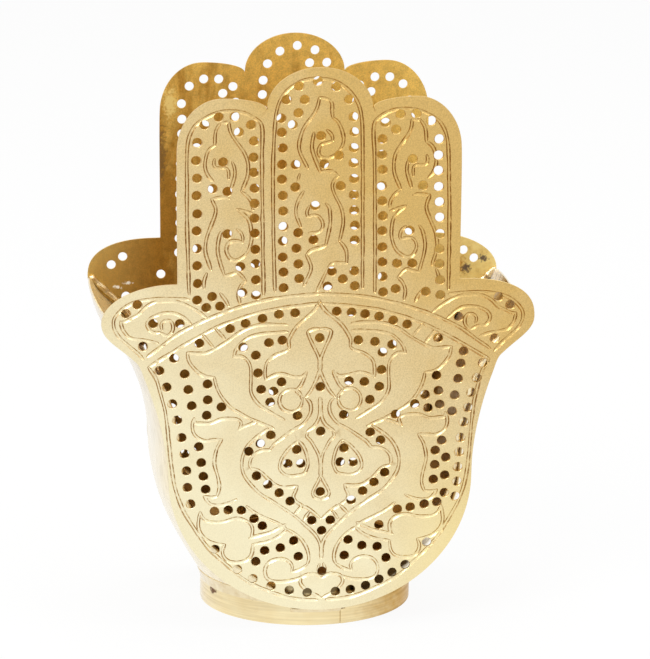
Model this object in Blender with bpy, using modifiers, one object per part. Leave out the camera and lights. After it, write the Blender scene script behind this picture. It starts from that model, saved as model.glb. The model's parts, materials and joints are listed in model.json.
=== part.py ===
"""Hamsa tealight holder: two pierced brass hands, joined by bulged side walls on a round foot.

Metres, +Z up. X runs across the hand, the front hand faces -Y, and the origin is the middle of the foot.
"""

import math
import random

import bpy
import numpy as np

MM = 0.001

# Sheet metal
HAND_SHEET = 0.8 * MM
WALL_SHEET = 0.6 * MM
RING_SHEET = 0.8 * MM
FLOOR_SHEET = 0.8 * MM
GAP = 0.3 * MM

# Hand, across: half of the middle finger, then outwards to the thumb's tip, and back in to the palm
MIDDLE_FINGER_WIDTH = 27.0 * MM
SIDE_FINGER_WIDTH = 22.9 * MM
THUMB_LENGTH = 19.6 * MM
NECK_INSET = 9.3 * MM
WAIST_INSET = 7.1 * MM

# Hand, upwards: from its lowest point to the crown of the middle finger
HAND_LIFT = 4.6 * MM
PALM_DEPTH = 36.4 * MM
FLANK_RISE = 30.8 * MM
THUMB_UNDER_RISE = 10.8 * MM
THUMB_OVER_RISE = 10.2 * MM
FINGER_LENGTH = 44.9 * MM
MIDDLE_CROWN_RISE = 10.5 * MM
SIDE_CROWN_RISE = 2.8 * MM
SIDE_SHOULDER_DROP = 10.7 * MM

# Shape of the hand's free curves: a thumb power of 2 is an ellipse, a higher one is squarer
THUMB_FULLNESS = 0.4
RIGHT_THUMB_POWER = 2.5
LEFT_THUMB_POWER = 2.0
FLANK_CURVE = 1.8

# Piercing
HOLE = 2.45 * MM
HOLE_SIDES = 6
LEAST_WEB = 0.4 * MM
HEEL_ROW_INSET = 4.6 * MM
RIGHT_ROW_INSET = 3.65 * MM
LEFT_ROW_INSET = 4.85 * MM
PUNCH_WANDER = 0.15 * MM

# The palm and the whole pattern lie a little askew to the fingers
LEAN = math.radians(0.78)

# Foot
RING_DIAMETER = 55.0 * MM
RING_HEIGHT = 14.0 * MM
RING_SEAM_GAP = 0.3 * MM
RING_SEAM_TURN = math.radians(-77)
FLOOR_CLEARANCE = 0.7 * MM

# Side walls
WALL_FOOT = 8.0 * MM
WALL_INSET = 2.2 * MM
WALL_BULGE = 4.0 * MM
WALL_LIP_BULGE = 1.8 * MM
WALL_ROUND_RISE = 30.0 * MM

# Solder
SEAM_BEAD = 0.7 * MM
FOOT_BEAD = 0.5 * MM
SEAM_START = 10.0 * MM
SEAM_END = 3.0 * MM
WALL_FOOT_ARC = math.radians(60)
HAND_FOOT_ARC = math.radians(11)

# The two halves of the hand
RIGHT = 1
LEFT = -1

# Steps along each curve
ARC_STEPS = 8
RING_STEPS = 48
WALL_FOOT_STEPS = 20
HAND_FOOT_STEPS = 6
WALL_STEPS_ACROSS = 10
WALL_STEPS_UP = 16
SEAM_POINTS = 10

# Places that several pieces share
MIDDLE_HALF = MIDDLE_FINGER_WIDTH / 2
FINGER_EDGE = MIDDLE_HALF + SIDE_FINGER_WIDTH
SIDE_AXIS = MIDDLE_HALF + SIDE_FINGER_WIDTH / 2
THUMB_TIP_X = FINGER_EDGE + THUMB_LENGTH
NECK_X = THUMB_TIP_X - NECK_INSET
PALM_HALF = NECK_X - WAIST_INSET
WAIST_Z = HAND_LIFT + PALM_DEPTH
NECK_Z = WAIST_Z + FLANK_RISE
THUMB_TIP_Z = NECK_Z + THUMB_UNDER_RISE
THUMB_ROOT_Z = THUMB_TIP_Z + THUMB_OVER_RISE
PALM_HEIGHT = THUMB_ROOT_Z - HAND_LIFT
PALM_REACH = PALM_HALF + (THUMB_ROOT_Z - WAIST_Z) * math.tan(LEAN)
NOTCH_Z = THUMB_ROOT_Z + FINGER_LENGTH
SHOULDER_Z = NOTCH_Z - SIDE_SHOULDER_DROP
RING_RADIUS = RING_DIAMETER / 2
HAND_BACK_Y = RING_RADIUS + GAP
HAND_MIDDLE_Y = HAND_BACK_Y + HAND_SHEET / 2
WALL_RADIUS = RING_RADIUS + GAP + WALL_SHEET
WALL_END_Y = HAND_BACK_Y - GAP
WALL_END_TURN = math.asin(WALL_END_Y / WALL_RADIUS)
FLOOR_Z = FLOOR_CLEARANCE + 2 * FOOT_BEAD + GAP


def clear_scene():
    for old in list(bpy.data.objects):
        bpy.data.objects.remove(old, do_unlink=True)


def new_collection(name):
    collection = bpy.data.collections.new(name)
    bpy.context.scene.collection.children.link(collection)
    return collection


def metal(name, colour, roughness):
    material = bpy.data.materials.new(name)
    material.use_nodes = True
    shader = material.node_tree.nodes["Principled BSDF"]
    shader.inputs["Base Color"].default_value = (*colour, 1)
    shader.inputs["Roughness"].default_value = roughness
    shader.inputs["Metallic"].default_value = 1
    return material


def add_part(name, data, material):
    part = bpy.data.objects.new(name, data)
    PARTS.objects.link(part)
    if not data.materials:
        data.materials.append(material)
    return part


def ellipse_arc(centre, radii, start, end, steps=ARC_STEPS):
    """Points of an ellipse from one angle to another, in degrees."""
    turns = np.radians(np.linspace(start, end, steps + 1))
    return [(centre[0] + radii[0] * math.cos(t), centre[1] + radii[1] * math.sin(t)) for t in turns]


def askew(z):
    """How far the lean moves a point to the right, at a height below the thumb's root."""
    return (THUMB_ROOT_Z - z) * math.tan(LEAN)


def thumb_top(power):
    """The upper edge of a thumb, from its root to its tip."""
    points = []
    for t in np.radians(np.linspace(90, 0, ARC_STEPS + 1)):
        across, up = abs(math.cos(t)) ** (2 / power), math.sin(t) ** (2 / power)
        points.append((FINGER_EDGE + across * THUMB_LENGTH, THUMB_TIP_Z + up * THUMB_OVER_RISE))
    return points


def thumb_underside():
    """The S-shaped edge from the thumb's tip in to the neck, as a cubic curve."""
    corners = np.array([
        (THUMB_TIP_X, THUMB_TIP_Z),
        (THUMB_TIP_X, THUMB_TIP_Z - THUMB_FULLNESS * THUMB_UNDER_RISE),
        (NECK_X + THUMB_FULLNESS * NECK_INSET, NECK_Z + THUMB_FULLNESS * THUMB_UNDER_RISE),
        (NECK_X, NECK_Z),
    ])
    points = []
    for t in np.linspace(0, 1, ARC_STEPS + 1):
        weights = np.array([(1 - t) ** 3, 3 * t * (1 - t) ** 2, 3 * t ** 2 * (1 - t), t ** 3])
        points.append(tuple(weights @ corners))
    return points


def flank():
    """The side of the palm, which narrows from the neck down to the waist."""
    shares = np.linspace(1, 0, ARC_STEPS + 1)
    return [(PALM_HALF + WAIST_INSET * s ** FLANK_CURVE, WAIST_Z + FLANK_RISE * s) for s in shares]


def lower_edge():
    """Right edge of the hand from the thumb's tip down to its lowest point."""
    heel = ellipse_arc((0, WAIST_Z), (PALM_HALF, PALM_DEPTH), 0, -90, 2 * ARC_STEPS)
    return thumb_underside() + flank()[1:] + heel[1:]


def half_outline(thumb_power):
    """The right half of a hand, from the crown of the middle finger down to the heel."""
    middle_crown = ellipse_arc((0, NOTCH_Z), (MIDDLE_HALF, MIDDLE_CROWN_RISE), 90, 0)
    inner_crown = ellipse_arc((SIDE_AXIS, NOTCH_Z), (SIDE_FINGER_WIDTH / 2, SIDE_CROWN_RISE), 180, 90)
    shoulder_radii = (SIDE_FINGER_WIDTH / 2, SIDE_SHOULDER_DROP + SIDE_CROWN_RISE)
    outer_crown = ellipse_arc((SIDE_AXIS, SHOULDER_Z), shoulder_radii, 90, 0)
    fingers = middle_crown + inner_crown[1:] + outer_crown[1:]
    return fingers + thumb_top(thumb_power) + lower_edge()[1:]


def hand_outline():
    """The whole hand, clockwise from the crown of the middle finger."""
    right = half_outline(RIGHT_THUMB_POWER)
    left = [(-x, z) for x, z in reversed(half_outline(LEFT_THUMB_POWER)[1:-1])]
    return [(x + max(askew(z), 0), z) for x, z in right + left]


def half_width(z):
    """Half of the hand's width at a height between its lowest point and the thumb's tip, without the lean."""
    edge = np.array(lower_edge())[::-1]
    return float(np.interp(z, edge[:, 1], edge[:, 0]))


def row(start, end, count):
    """Evenly spaced points from start to end."""
    return [tuple(p) for p in np.linspace(start, end, count)]


def on_finger(axis, half, top, shares):
    """Shares across the finger from its axis, and up it from the thumb's root."""
    length = top - THUMB_ROOT_Z
    return [(axis + across * half, THUMB_ROOT_Z + up * length) for across, up in shares]


def side_finger_holes(side):
    outer_column = row((0.56, -0.09), (0.52, 0.765), 11 if side == RIGHT else 10)
    inner_column = row((-0.75, -0.065), (-0.75, 0.77), 11)
    crown = [(0.35, 0.865), (0.02, 0.905), (-0.33, 0.905), (-0.68, 0.86)]
    among_leaves = [(-0.43, 0.82), (-0.07, 0.66), (0.18, 0.515), (-0.13, 0.27), (-0.42, 0.09)]
    at_root = [(-0.45, -0.05), (0.22, -0.07)]
    if side == RIGHT:
        among_leaves += [(-0.08, 0.088)]
    else:
        among_leaves += [(-0.155, 0.5)]
        at_root += [(0.37, -0.128), (0.06, -0.125)]
    shares = outer_column + inner_column + crown + among_leaves + at_root
    return on_finger(SIDE_AXIS, SIDE_FINGER_WIDTH / 2, NOTCH_Z + SIDE_CROWN_RISE, shares)


def middle_finger_holes():
    left_column = row((-0.68, -0.025), (-0.68, 0.70), 11)
    right_column = row((0.68, -0.025), (0.68, 0.045), 2) + row((0.68, 0.19), (0.68, 0.70), 8)
    crown = ellipse_arc((0, 0.77), (0.68, 0.166), 0, 180, 6)
    upper_leaf = [(-0.24, 0.85), (-0.36, 0.79), (-0.49, 0.735), (0.06, 0.685)]
    leaf_sides = [(-0.43, 0.55), (-0.43, 0.445), (0.385, 0.59), (0.12, 0.55), (0.43, 0.45), (-0.07, 0.357)]
    lower_leaf = [(-0.39, 0.23), (-0.43, 0.16), (-0.1, 0.2), (-0.385, 0.087), (-0.385, 0.013)]
    at_root = [(0.25, 0.05), (0.44, 0.01), (0.16, -0.022)]
    shares = left_column + right_column + crown + upper_leaf + leaf_sides + lower_leaf + at_root
    return on_finger(0, MIDDLE_HALF, NOTCH_Z + MIDDLE_CROWN_RISE, shares)


def thumb_holes(side):
    shares = [(0.52, 0.5), (0.67, 0.29), (-0.02, 0), (0.47, -0.57)]
    if side == LEFT:
        shares += [(0.32, 0)]
    return [(FINGER_EDGE + u * THUMB_LENGTH, THUMB_TIP_Z + v * THUMB_OVER_RISE) for u, v in shares]


def on_palm(shares):
    """Shares of the palm's reach to the right, and of its height up to the thumb's root."""
    return [(u * PALM_REACH, HAND_LIFT + v * PALM_HEIGHT) for u, v in shares]


def palm_holes():
    """Holes that the two halves of the palm share."""
    beside_leaf = row((0.407, 0.783), (0.382, 0.68), 3) + [(0.32, 0.643), (0.15, 0.598)]
    crossing = [(0.322, 0.543), (0.389, 0.517), (0.151, 0.496), (0.214, 0.454), (0.127, 0.454)]
    lower_band = row((0.418, 0.418), (0.2, 0.338), 4) + [(0.062, 0.278)]
    leaf_tips = [(0.767, 0.825), (0.93, 0.782), (0.787, 0.512), (0.692, 0.199)]
    low_scroll = [(0.179, 0.215), (0.267, 0.196), (0.368, 0.19), (0.424, 0.157), (0.149, 0.168)]
    return on_palm(beside_leaf + crossing + lower_band + leaf_tips + low_scroll)


def right_palm_holes():
    upper_leaf = row((0.248, 0.823), (0.464, 0.807), 3) + [(0.284, 0.696), (0.189, 0.701)]
    flank_field = row((0.91, 0.745), (0.853, 0.602), 4) + row((0.757, 0.71), (0.774, 0.621), 3)
    leaf_edge = [(0.681, 0.653), (0.7, 0.613), (0.609, 0.626), (0.484, 0.594)]
    side_leaf = row((0.745, 0.483), (0.734, 0.394), 3) + row((0.811, 0.46), (0.808, 0.351), 3)
    over_low_leaf = row((0.757, 0.324), (0.5, 0.303), 4) + [(0.375, 0.259)]
    return on_palm(upper_leaf + flank_field + leaf_edge + side_leaf + over_low_leaf)


def left_palm_holes():
    upper_leaf = row((0.494, 0.81), (0.237, 0.827), 4) + [(0.296, 0.673), (0.246, 0.7)]
    flank_field = row((0.868, 0.732), (0.822, 0.636), 3) + row((0.72, 0.7), (0.728, 0.608), 3)
    leaf_edge = [(0.633, 0.632), (0.462, 0.492)]
    side_leaf = row((0.769, 0.464), (0.746, 0.381), 3)
    over_low_leaf = row((0.687, 0.315), (0.517, 0.315), 3) + [(0.438, 0.289), (0.378, 0.264)]
    return on_palm(upper_leaf + flank_field + leaf_edge + side_leaf + over_low_leaf)


def arch_holes(side):
    """The row under the arch between the palm and the fingers."""
    shares = np.linspace(0.113, 0.562, 6) if side == RIGHT else np.linspace(0.155, 0.575, 5)
    return on_palm([(u, 0.913 - 0.145 * u * u) for u in shares])


def edge_row_holes(side):
    """The row that follows the palm's edge, from the neck down to the heel."""
    inset = RIGHT_ROW_INSET if side == RIGHT else LEFT_ROW_INSET
    heights = HAND_LIFT + PALM_HEIGHT * np.linspace(0.34, 0.745, 10 if side == RIGHT else 9)
    flank_row = [(half_width(z) - inset, z) for z in heights]
    heel_radii = (PALM_HALF - HEEL_ROW_INSET, PALM_DEPTH - HEEL_ROW_INSET)
    heel_row = ellipse_arc((0, WAIST_Z), heel_radii, -84, -51, 5 if side == RIGHT else 4)
    return flank_row + heel_row


def half_hand_holes(side):
    """All the holes on one half of the hand."""
    own = right_palm_holes() if side == RIGHT else left_palm_holes()
    holes = side_finger_holes(side) + thumb_holes(side) + palm_holes() + own
    holes += arch_holes(side) + edge_row_holes(side)
    return [(side * x, z) for x, z in holes]


def axis_holes():
    return [(0, HAND_LIFT + v * PALM_HEIGHT) for v in (0.831, 0.683, 0.548, 0.365, 0.245, 0.121)]


def room_for(hole, others, outline):
    """Whether a hole leaves enough metal to the other holes and to the edge of the hand."""
    centre = np.array(hole)
    to_others = [np.linalg.norm(centre - other) for other in others]
    to_edge = np.linalg.norm(np.array(outline) - centre, axis=1).min()
    return min(to_others, default=HOLE * 2) > HOLE + LEAST_WEB and to_edge > HOLE / 2 + LEAST_WEB


def pierced_holes(outline):
    """All the holes of a pattern set a little askew, each off its mark, as a hand-held punch leaves them."""
    wander = random.Random(5)
    wanted = axis_holes() + middle_finger_holes() + half_hand_holes(RIGHT) + half_hand_holes(LEFT)
    holes = []
    for x, z in wanted:
        hole = (
            x + askew(z) + wander.uniform(-PUNCH_WANDER, PUNCH_WANDER),
            z + wander.uniform(-PUNCH_WANDER, PUNCH_WANDER),
        )
        if room_for(hole, holes, outline):
            holes.append(hole)
    return holes


def add_loop(curve, points, cyclic=True):
    spline = curve.splines.new("POLY")
    spline.points.add(len(points) - 1)
    for place, point in zip(spline.points, points):
        place.co = (*point, 0, 1) if len(point) == 2 else (*point, 1)
    spline.use_cyclic_u = cyclic


def hand_sheet():
    """The hand as a flat outline with its holes, drawn in the curve's own plane."""
    curve = bpy.data.curves.new("hand_sheet", "CURVE")
    curve.dimensions = "2D"
    curve.fill_mode = "BOTH"
    curve.extrude = HAND_SHEET / 2
    outline = hand_outline()
    add_loop(curve, outline)
    for hole in pierced_holes(outline):
        add_loop(curve, ellipse_arc(hole, (HOLE / 2, HOLE / 2), 0, 360, HOLE_SIDES)[:-1])
    return curve


def build_hands(material):
    sheet = hand_sheet()
    front = add_part("front_hand", sheet, material)
    front.location = (0, -HAND_MIDDLE_Y, 0)
    front.rotation_euler = (math.pi / 2, 0, 0)
    rear = add_part("rear_hand", sheet, material)
    rear.location = (0, HAND_MIDDLE_Y, 0)
    rear.rotation_euler = (math.pi / 2, 0, math.pi)


def wall_round_share(z):
    """How far the wall still follows the ring: 1 at its foot, 0 once it follows the hand alone."""
    risen = min((z - WALL_FOOT) / WALL_ROUND_RISE, 1)
    return (1 - risen) ** 2


def wall_edge_x(z):
    """Where the wall meets the back of a hand."""
    foot_x = WALL_RADIUS * math.cos(WALL_END_TURN)
    foot_share = foot_x / (half_width(WALL_FOOT) - WALL_INSET)
    share = 1 - (1 - foot_share) * wall_round_share(z)
    return share * (half_width(z) - WALL_INSET)


def wall_bulge(z):
    """How far the wall stands out, halfway between the hands, past where it meets them."""
    foot_bulge = WALL_RADIUS * (1 - math.cos(WALL_END_TURN))
    flared = max((z - NECK_Z) / THUMB_UNDER_RISE, 0)
    bulge = WALL_BULGE + (WALL_LIP_BULGE - WALL_BULGE) * flared
    return bulge + (foot_bulge - bulge) * wall_round_share(z)


def wall_point(across, z):
    """A point of the right wall's outer face, from -1 at the front hand to 1 at the rear one."""
    turn = across * WALL_END_TURN
    end = math.cos(WALL_END_TURN)
    x = wall_edge_x(z) + wall_bulge(z) * (math.cos(turn) - end) / (1 - end)
    return (x, WALL_RADIUS * math.sin(turn), z)


def build_wall(name, side, material):
    """One side wall, lofted from the ring's arc at its foot to a nearly straight lip."""
    columns = np.linspace(-1, 1, WALL_STEPS_ACROSS + 1)
    verts = []
    for z in np.linspace(WALL_FOOT, THUMB_TIP_Z, WALL_STEPS_UP + 1):
        for across in columns:
            x, y, height = wall_point(across, z)
            verts.append((side * x, y, height))
    wide = len(columns)
    faces = []
    for level in range(WALL_STEPS_UP):
        for column in range(WALL_STEPS_ACROSS):
            corner = level * wide + column
            ring = [corner, corner + 1, corner + 1 + wide, corner + wide]
            faces.append(ring if side > 0 else ring[::-1])
    mesh = bpy.data.meshes.new(name)
    mesh.from_pydata(verts, [], faces)
    mesh.shade_smooth()
    wall = add_part(name, mesh, material)
    shell = wall.modifiers.new("sheet", "SOLIDIFY")
    shell.thickness = WALL_SHEET
    shell.offset = -1


def build_ring(material):
    """A strip rolled into a ring, whose ends meet at a narrow seam."""
    slit = RING_SEAM_GAP / RING_RADIUS
    start = RING_SEAM_TURN + slit / 2
    place = (RING_RADIUS * math.cos(start), RING_RADIUS * math.sin(start))
    mesh = bpy.data.meshes.new("base_ring")
    mesh.from_pydata([(*place, RING_HEIGHT), (*place, 0)], [(0, 1)], [])
    ring = add_part("base_ring", mesh, material)
    roll = ring.modifiers.new("roll", "SCREW")
    roll.angle = 2 * math.pi - slit
    roll.steps = RING_STEPS
    roll.render_steps = RING_STEPS
    roll.use_smooth_shade = True
    shell = ring.modifiers.new("sheet", "SOLIDIFY")
    shell.thickness = RING_SHEET
    shell.offset = -1


def build_floor(material):
    radius = RING_RADIUS - RING_SHEET - GAP
    middle = FLOOR_Z + FLOOR_SHEET / 2
    bpy.ops.mesh.primitive_cylinder_add(
        vertices=RING_STEPS, radius=radius, depth=FLOOR_SHEET, location=(0, 0, middle)
    )
    disc = bpy.context.object
    disc.name = "base_floor"
    disc.data.materials.append(material)
    for holder in list(disc.users_collection):
        holder.objects.unlink(disc)
    PARTS.objects.link(disc)


def build_bead(name, points, radius, material, cyclic=False):
    """A run of solder along a line of points."""
    curve = bpy.data.curves.new(name, "CURVE")
    curve.dimensions = "3D"
    curve.bevel_depth = radius
    curve.bevel_resolution = 1
    curve.use_fill_caps = not cyclic
    add_loop(curve, points, cyclic)
    add_part(name, curve, material)


def ring_arc(radius, z, middle, spread, steps):
    """Points round the foot, from one side of a middle angle to the other."""
    turns = np.linspace(middle - spread, middle + spread, steps + 1)
    return [(radius * math.cos(t), radius * math.sin(t), z) for t in turns]


def seam_path(side, face):
    """Inside corner between a wall and a hand, up to just below the thumb's tip."""
    away = WALL_SHEET + GAP + SEAM_BEAD
    y = face * (HAND_BACK_Y - GAP - SEAM_BEAD)
    heights = np.linspace(RING_HEIGHT + SEAM_START, THUMB_TIP_Z - SEAM_END, SEAM_POINTS)
    edge = [(wall_edge_x(z), z) for z in heights]
    slopes = np.gradient(np.array(edge), axis=0)
    path = []
    for (x, z), (run, rise) in zip(edge, slopes):
        length = math.hypot(run, rise)
        path.append((side * (x - away * rise / length), y, z + away * run / length))
    return path


def build_solder(material):
    for face_name, face in (("front", -1), ("rear", 1)):
        for side_name, side in (("left", LEFT), ("right", RIGHT)):
            name = f"{face_name}_{side_name}_seam_solder"
            build_bead(name, seam_path(side, face), SEAM_BEAD, material)
    outside = RING_RADIUS + GAP + FOOT_BEAD
    inside = RING_RADIUS - RING_SHEET - GAP - FOOT_BEAD
    under_wall = WALL_FOOT - GAP - FOOT_BEAD
    under_hand = HAND_LIFT - GAP - FOOT_BEAD
    for name, middle in (("right_wall_foot_solder", 0), ("left_wall_foot_solder", math.pi)):
        path = ring_arc(outside, under_wall, middle, WALL_FOOT_ARC, WALL_FOOT_STEPS)
        build_bead(name, path, FOOT_BEAD, material)
    for name, middle in (("front_foot_solder", -math.pi / 2), ("rear_foot_solder", math.pi / 2)):
        path = ring_arc(outside, under_hand, middle, HAND_FOOT_ARC, HAND_FOOT_STEPS)
        build_bead(name, path, FOOT_BEAD, material)
    under_floor = ring_arc(inside, FLOOR_Z - GAP - FOOT_BEAD, 0, math.pi, RING_STEPS)
    build_bead("floor_solder", under_floor[:-1], FOOT_BEAD, material, cyclic=True)
    seam_place = (inside * math.cos(RING_SEAM_TURN), inside * math.sin(RING_SEAM_TURN))
    seam = [(*seam_place, FLOOR_Z + FLOOR_SHEET + GAP), (*seam_place, RING_HEIGHT)]
    build_bead("ring_seam_solder", seam, FOOT_BEAD, material)


clear_scene()
PARTS = new_collection("hamsa_tealight_holder")
build_hands(metal("engraved_brass", (0.84, 0.66, 0.36), 0.38))
sheet_brass = metal("sheet_brass", (0.80, 0.60, 0.30), 0.35)
build_wall("right_side_wall", RIGHT, sheet_brass)
build_wall("left_side_wall", LEFT, sheet_brass)
ring_brass = metal("ring_brass", (0.82, 0.64, 0.34), 0.4)
build_ring(ring_brass)
build_floor(ring_brass)
build_solder(metal("solder", (0.74, 0.64, 0.46), 0.4))
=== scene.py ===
# %% [markdown]
# # A hamsa tealight holder in brass
# Two flat hands of sheet brass, pierced with a punch and engraved, stand back to back. Bulged side walls
# join them, and all four are soldered to a short ring that is the foot. The solids come from the packed
# frame, so each sheet has its place already. This lesson gives the sheets their engraving, their rims
# and their brass.

# %% Load the frame
import json
import math
import random

import bpy
import numpy as np
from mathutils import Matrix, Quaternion, Vector
from mathutils.geometry import delaunay_2d_cdt
from mathutils.kdtree import KDTree

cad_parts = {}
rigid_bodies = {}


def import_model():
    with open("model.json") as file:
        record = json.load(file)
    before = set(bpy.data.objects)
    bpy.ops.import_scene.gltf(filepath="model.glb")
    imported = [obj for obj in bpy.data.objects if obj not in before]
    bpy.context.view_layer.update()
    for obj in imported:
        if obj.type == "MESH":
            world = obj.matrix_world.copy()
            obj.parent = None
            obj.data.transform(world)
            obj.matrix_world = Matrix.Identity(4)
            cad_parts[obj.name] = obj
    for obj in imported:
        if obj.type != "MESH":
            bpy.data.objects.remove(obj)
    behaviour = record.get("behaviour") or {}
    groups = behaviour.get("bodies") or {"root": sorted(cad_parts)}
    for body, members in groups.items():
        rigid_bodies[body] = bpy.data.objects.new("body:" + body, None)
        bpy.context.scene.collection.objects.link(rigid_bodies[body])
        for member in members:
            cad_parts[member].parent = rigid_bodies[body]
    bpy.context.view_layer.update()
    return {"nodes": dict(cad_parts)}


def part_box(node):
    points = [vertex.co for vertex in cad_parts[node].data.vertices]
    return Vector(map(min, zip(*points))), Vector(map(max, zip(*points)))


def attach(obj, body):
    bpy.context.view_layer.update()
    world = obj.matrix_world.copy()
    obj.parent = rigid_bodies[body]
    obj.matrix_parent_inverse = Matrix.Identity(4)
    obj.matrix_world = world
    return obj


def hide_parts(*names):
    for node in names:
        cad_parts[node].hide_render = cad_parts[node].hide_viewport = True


for old in list(bpy.data.objects):
    bpy.data.objects.remove(old, do_unlink=True)
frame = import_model()
MM = 0.001

# %% [markdown]
# ## The camera
# The holder was photographed from a little to its left and from above, with a long lens. The numbers come
# from fitting the edges of the front hand to the picture. The long lens matters: it keeps the rear hand
# almost as large as the front one.

# %% Set up the camera
LOOK_AT = Vector((5.136, 0, 73.09)) * MM
VIEW_TURN = math.radians(-7.135)
VIEW_RISE = math.radians(13.8)
VIEW_ROLL = math.radians(0.39)
VIEW_DISTANCE = 0.9244
LENS = 190.3
SENSOR_WIDTH = 36
NEAREST_SEEN = 0.01

towards_camera = Vector((
    math.sin(VIEW_TURN) * math.cos(VIEW_RISE),
    -math.cos(VIEW_TURN) * math.cos(VIEW_RISE),
    math.sin(VIEW_RISE),
))
bpy.ops.object.select_all(action="DESELECT")
bpy.ops.object.camera_add(location=LOOK_AT + VIEW_DISTANCE * towards_camera)
camera = bpy.context.object
camera.rotation_mode = "QUATERNION"
upright = (-towards_camera).to_track_quat("-Z", "Y")
camera.rotation_quaternion = upright @ Quaternion((0, 0, 1), VIEW_ROLL)
camera.data.lens = LENS
camera.data.sensor_width = SENSOR_WIDTH
camera.data.clip_start = NEAREST_SEEN
bpy.context.scene.camera = camera
bpy.context.scene.view_settings.view_transform = "Standard"
print("camera at", [round(c, 3) for c in camera.location])

# %% [markdown]
# ## Floor, world and lamps
# Brass has hardly any colour of its own light: it shows what stands around it. The floor and the world are
# white to the camera and to anything that mirrors them, which gives the pale ground of the picture, while
# for ordinary light the floor stays a matt sheet that keeps the shadow. Two brown cards stand to the left
# and the right, outside the picture. Only the metal sees them, and they draw the brown edge along each
# groove that runs up the hand.


# %% A white floor that keeps the shadow
def seen_directly(tree, by_camera):
    """1 for rays off mirrors and through glass, a share for the camera's, and 0 for light on things."""
    path = tree.nodes.new("ShaderNodeLightPath")
    mirrors = tree.nodes.new("ShaderNodeMath")
    mirrors.operation = "MAXIMUM"
    tree.links.new(path.outputs["Is Glossy Ray"], mirrors.inputs[0])
    tree.links.new(path.outputs["Is Transmission Ray"], mirrors.inputs[1])
    seen = tree.nodes.new("ShaderNodeMath")
    seen.operation = "MULTIPLY_ADD"
    seen.inputs[1].default_value = by_camera
    tree.links.new(path.outputs["Is Camera Ray"], seen.inputs[0])
    tree.links.new(mirrors.outputs[0], seen.inputs[2])
    return seen.outputs[0]


FLOOR_SIZE = 6.0
SHADOW_SHARE = 0.08
PAPER_WHITE = (0.82, 0.82, 0.81, 1)
PAPER_ROUGHNESS = 0.9
bpy.ops.object.select_all(action="DESELECT")
bpy.ops.mesh.primitive_plane_add(size=FLOOR_SIZE)
floor = bpy.context.object
floor.name = "studio_floor"
paper = bpy.data.materials.new("white_paper")
paper.use_nodes = True
tree = paper.node_tree
matt = tree.nodes["Principled BSDF"]
matt.inputs["Base Color"].default_value = PAPER_WHITE
matt.inputs["Roughness"].default_value = PAPER_ROUGHNESS
glow = tree.nodes.new("ShaderNodeEmission")
mix = tree.nodes.new("ShaderNodeMixShader")
tree.links.new(seen_directly(tree, 1 - SHADOW_SHARE), mix.inputs[0])
tree.links.new(matt.outputs[0], mix.inputs[1])
tree.links.new(glow.outputs[0], mix.inputs[2])
tree.links.new(mix.outputs[0], tree.nodes["Material Output"].inputs["Surface"])
floor.data.materials.append(paper)
print("floor:", FLOOR_SIZE, "m square")

# %% Light from the world
WORLD_LIGHT = 0.55
world = bpy.data.worlds.new("white_studio")
bpy.context.scene.world = world
world.use_nodes = True
tree = world.node_tree
sky = tree.nodes["Background"]
sky.inputs["Color"].default_value = (1, 1, 1, 1)
level = tree.nodes.new("ShaderNodeMapRange")
level.inputs["To Min"].default_value = WORLD_LIGHT
level.inputs["To Max"].default_value = 1.0
tree.links.new(seen_directly(tree, 1), level.inputs["Value"])
tree.links.new(level.outputs["Result"], sky.inputs["Strength"])
print("world light:", WORLD_LIGHT)

# %% Soft lamps
LAMPS = [
    ("key_softbox", (-0.7, -0.7, 1.0), 0.7, 9),
    ("fill_softbox", (0.9, -0.5, 0.7), 0.8, 4),
    ("top_softbox", (0.0, 0.2, 1.2), 0.8, 6),
]
for name, stand, size, watts in LAMPS:
    bpy.ops.object.light_add(type="AREA", location=stand)
    lamp = bpy.context.object
    lamp.name = name
    lamp.data.size = size
    lamp.data.energy = watts
    lamp.rotation_mode = "QUATERNION"
    lamp.rotation_quaternion = (LOOK_AT - Vector(stand)).to_track_quat("-Z", "Y")
    print(name, "of", watts, "W at", stand)

# %% Two brown cards
CARD_BROWN = (0.36, 0.2, 0.06, 1)
CARD_SIZE = (0.3, 0.28, 1)
CARD_PLACES = {"left_card": (-0.19, -0.11, 0.15), "right_card": (0.2, -0.11, 0.15)}
ON_EDGE = (0, math.pi / 2, 0)
cardboard = bpy.data.materials.new("brown_cardboard")
cardboard.use_nodes = True
cardboard.node_tree.nodes["Principled BSDF"].inputs["Base Color"].default_value = CARD_BROWN
for name, stand in CARD_PLACES.items():
    bpy.ops.object.select_all(action="DESELECT")
    bpy.ops.mesh.primitive_plane_add(size=1, location=stand, rotation=ON_EDGE)
    card = bpy.context.object
    card.name = name
    card.scale = CARD_SIZE
    bpy.ops.object.transform_apply(location=True, rotation=True, scale=True)
    card.visible_camera = False
    card.visible_diffuse = False
    card.visible_shadow = False
    card.data.materials.append(cardboard)
    print(name, "at x", stand[0])

# %% [markdown]
# ## Reading the hand from the frame
# The front hand is a sheet whose edge and holes are already right, but its holes have only six sides. The
# loops round its front face give the outline and the middle of every hole. A loop is found by following
# the edges that only one triangle uses: each has no partner that runs the other way.


# %% Find the outline and the holes
FACES_FRONT = -0.9


def loops_round(triangles):
    """Closed loops along the open edges of a sheet of triangles, the longest first."""
    edges = {(a, b) for tri in triangles for a, b in zip(tri, (*tri[1:], tri[0]))}
    follow = {a: b for a, b in edges if (b, a) not in edges}
    loops = []
    for start in sorted(follow):
        loop = []
        while start in follow:
            loop.append(start)
            start = follow.pop(start)
        if loop:
            loops.append(loop)
    return sorted(loops, key=len, reverse=True)


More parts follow.
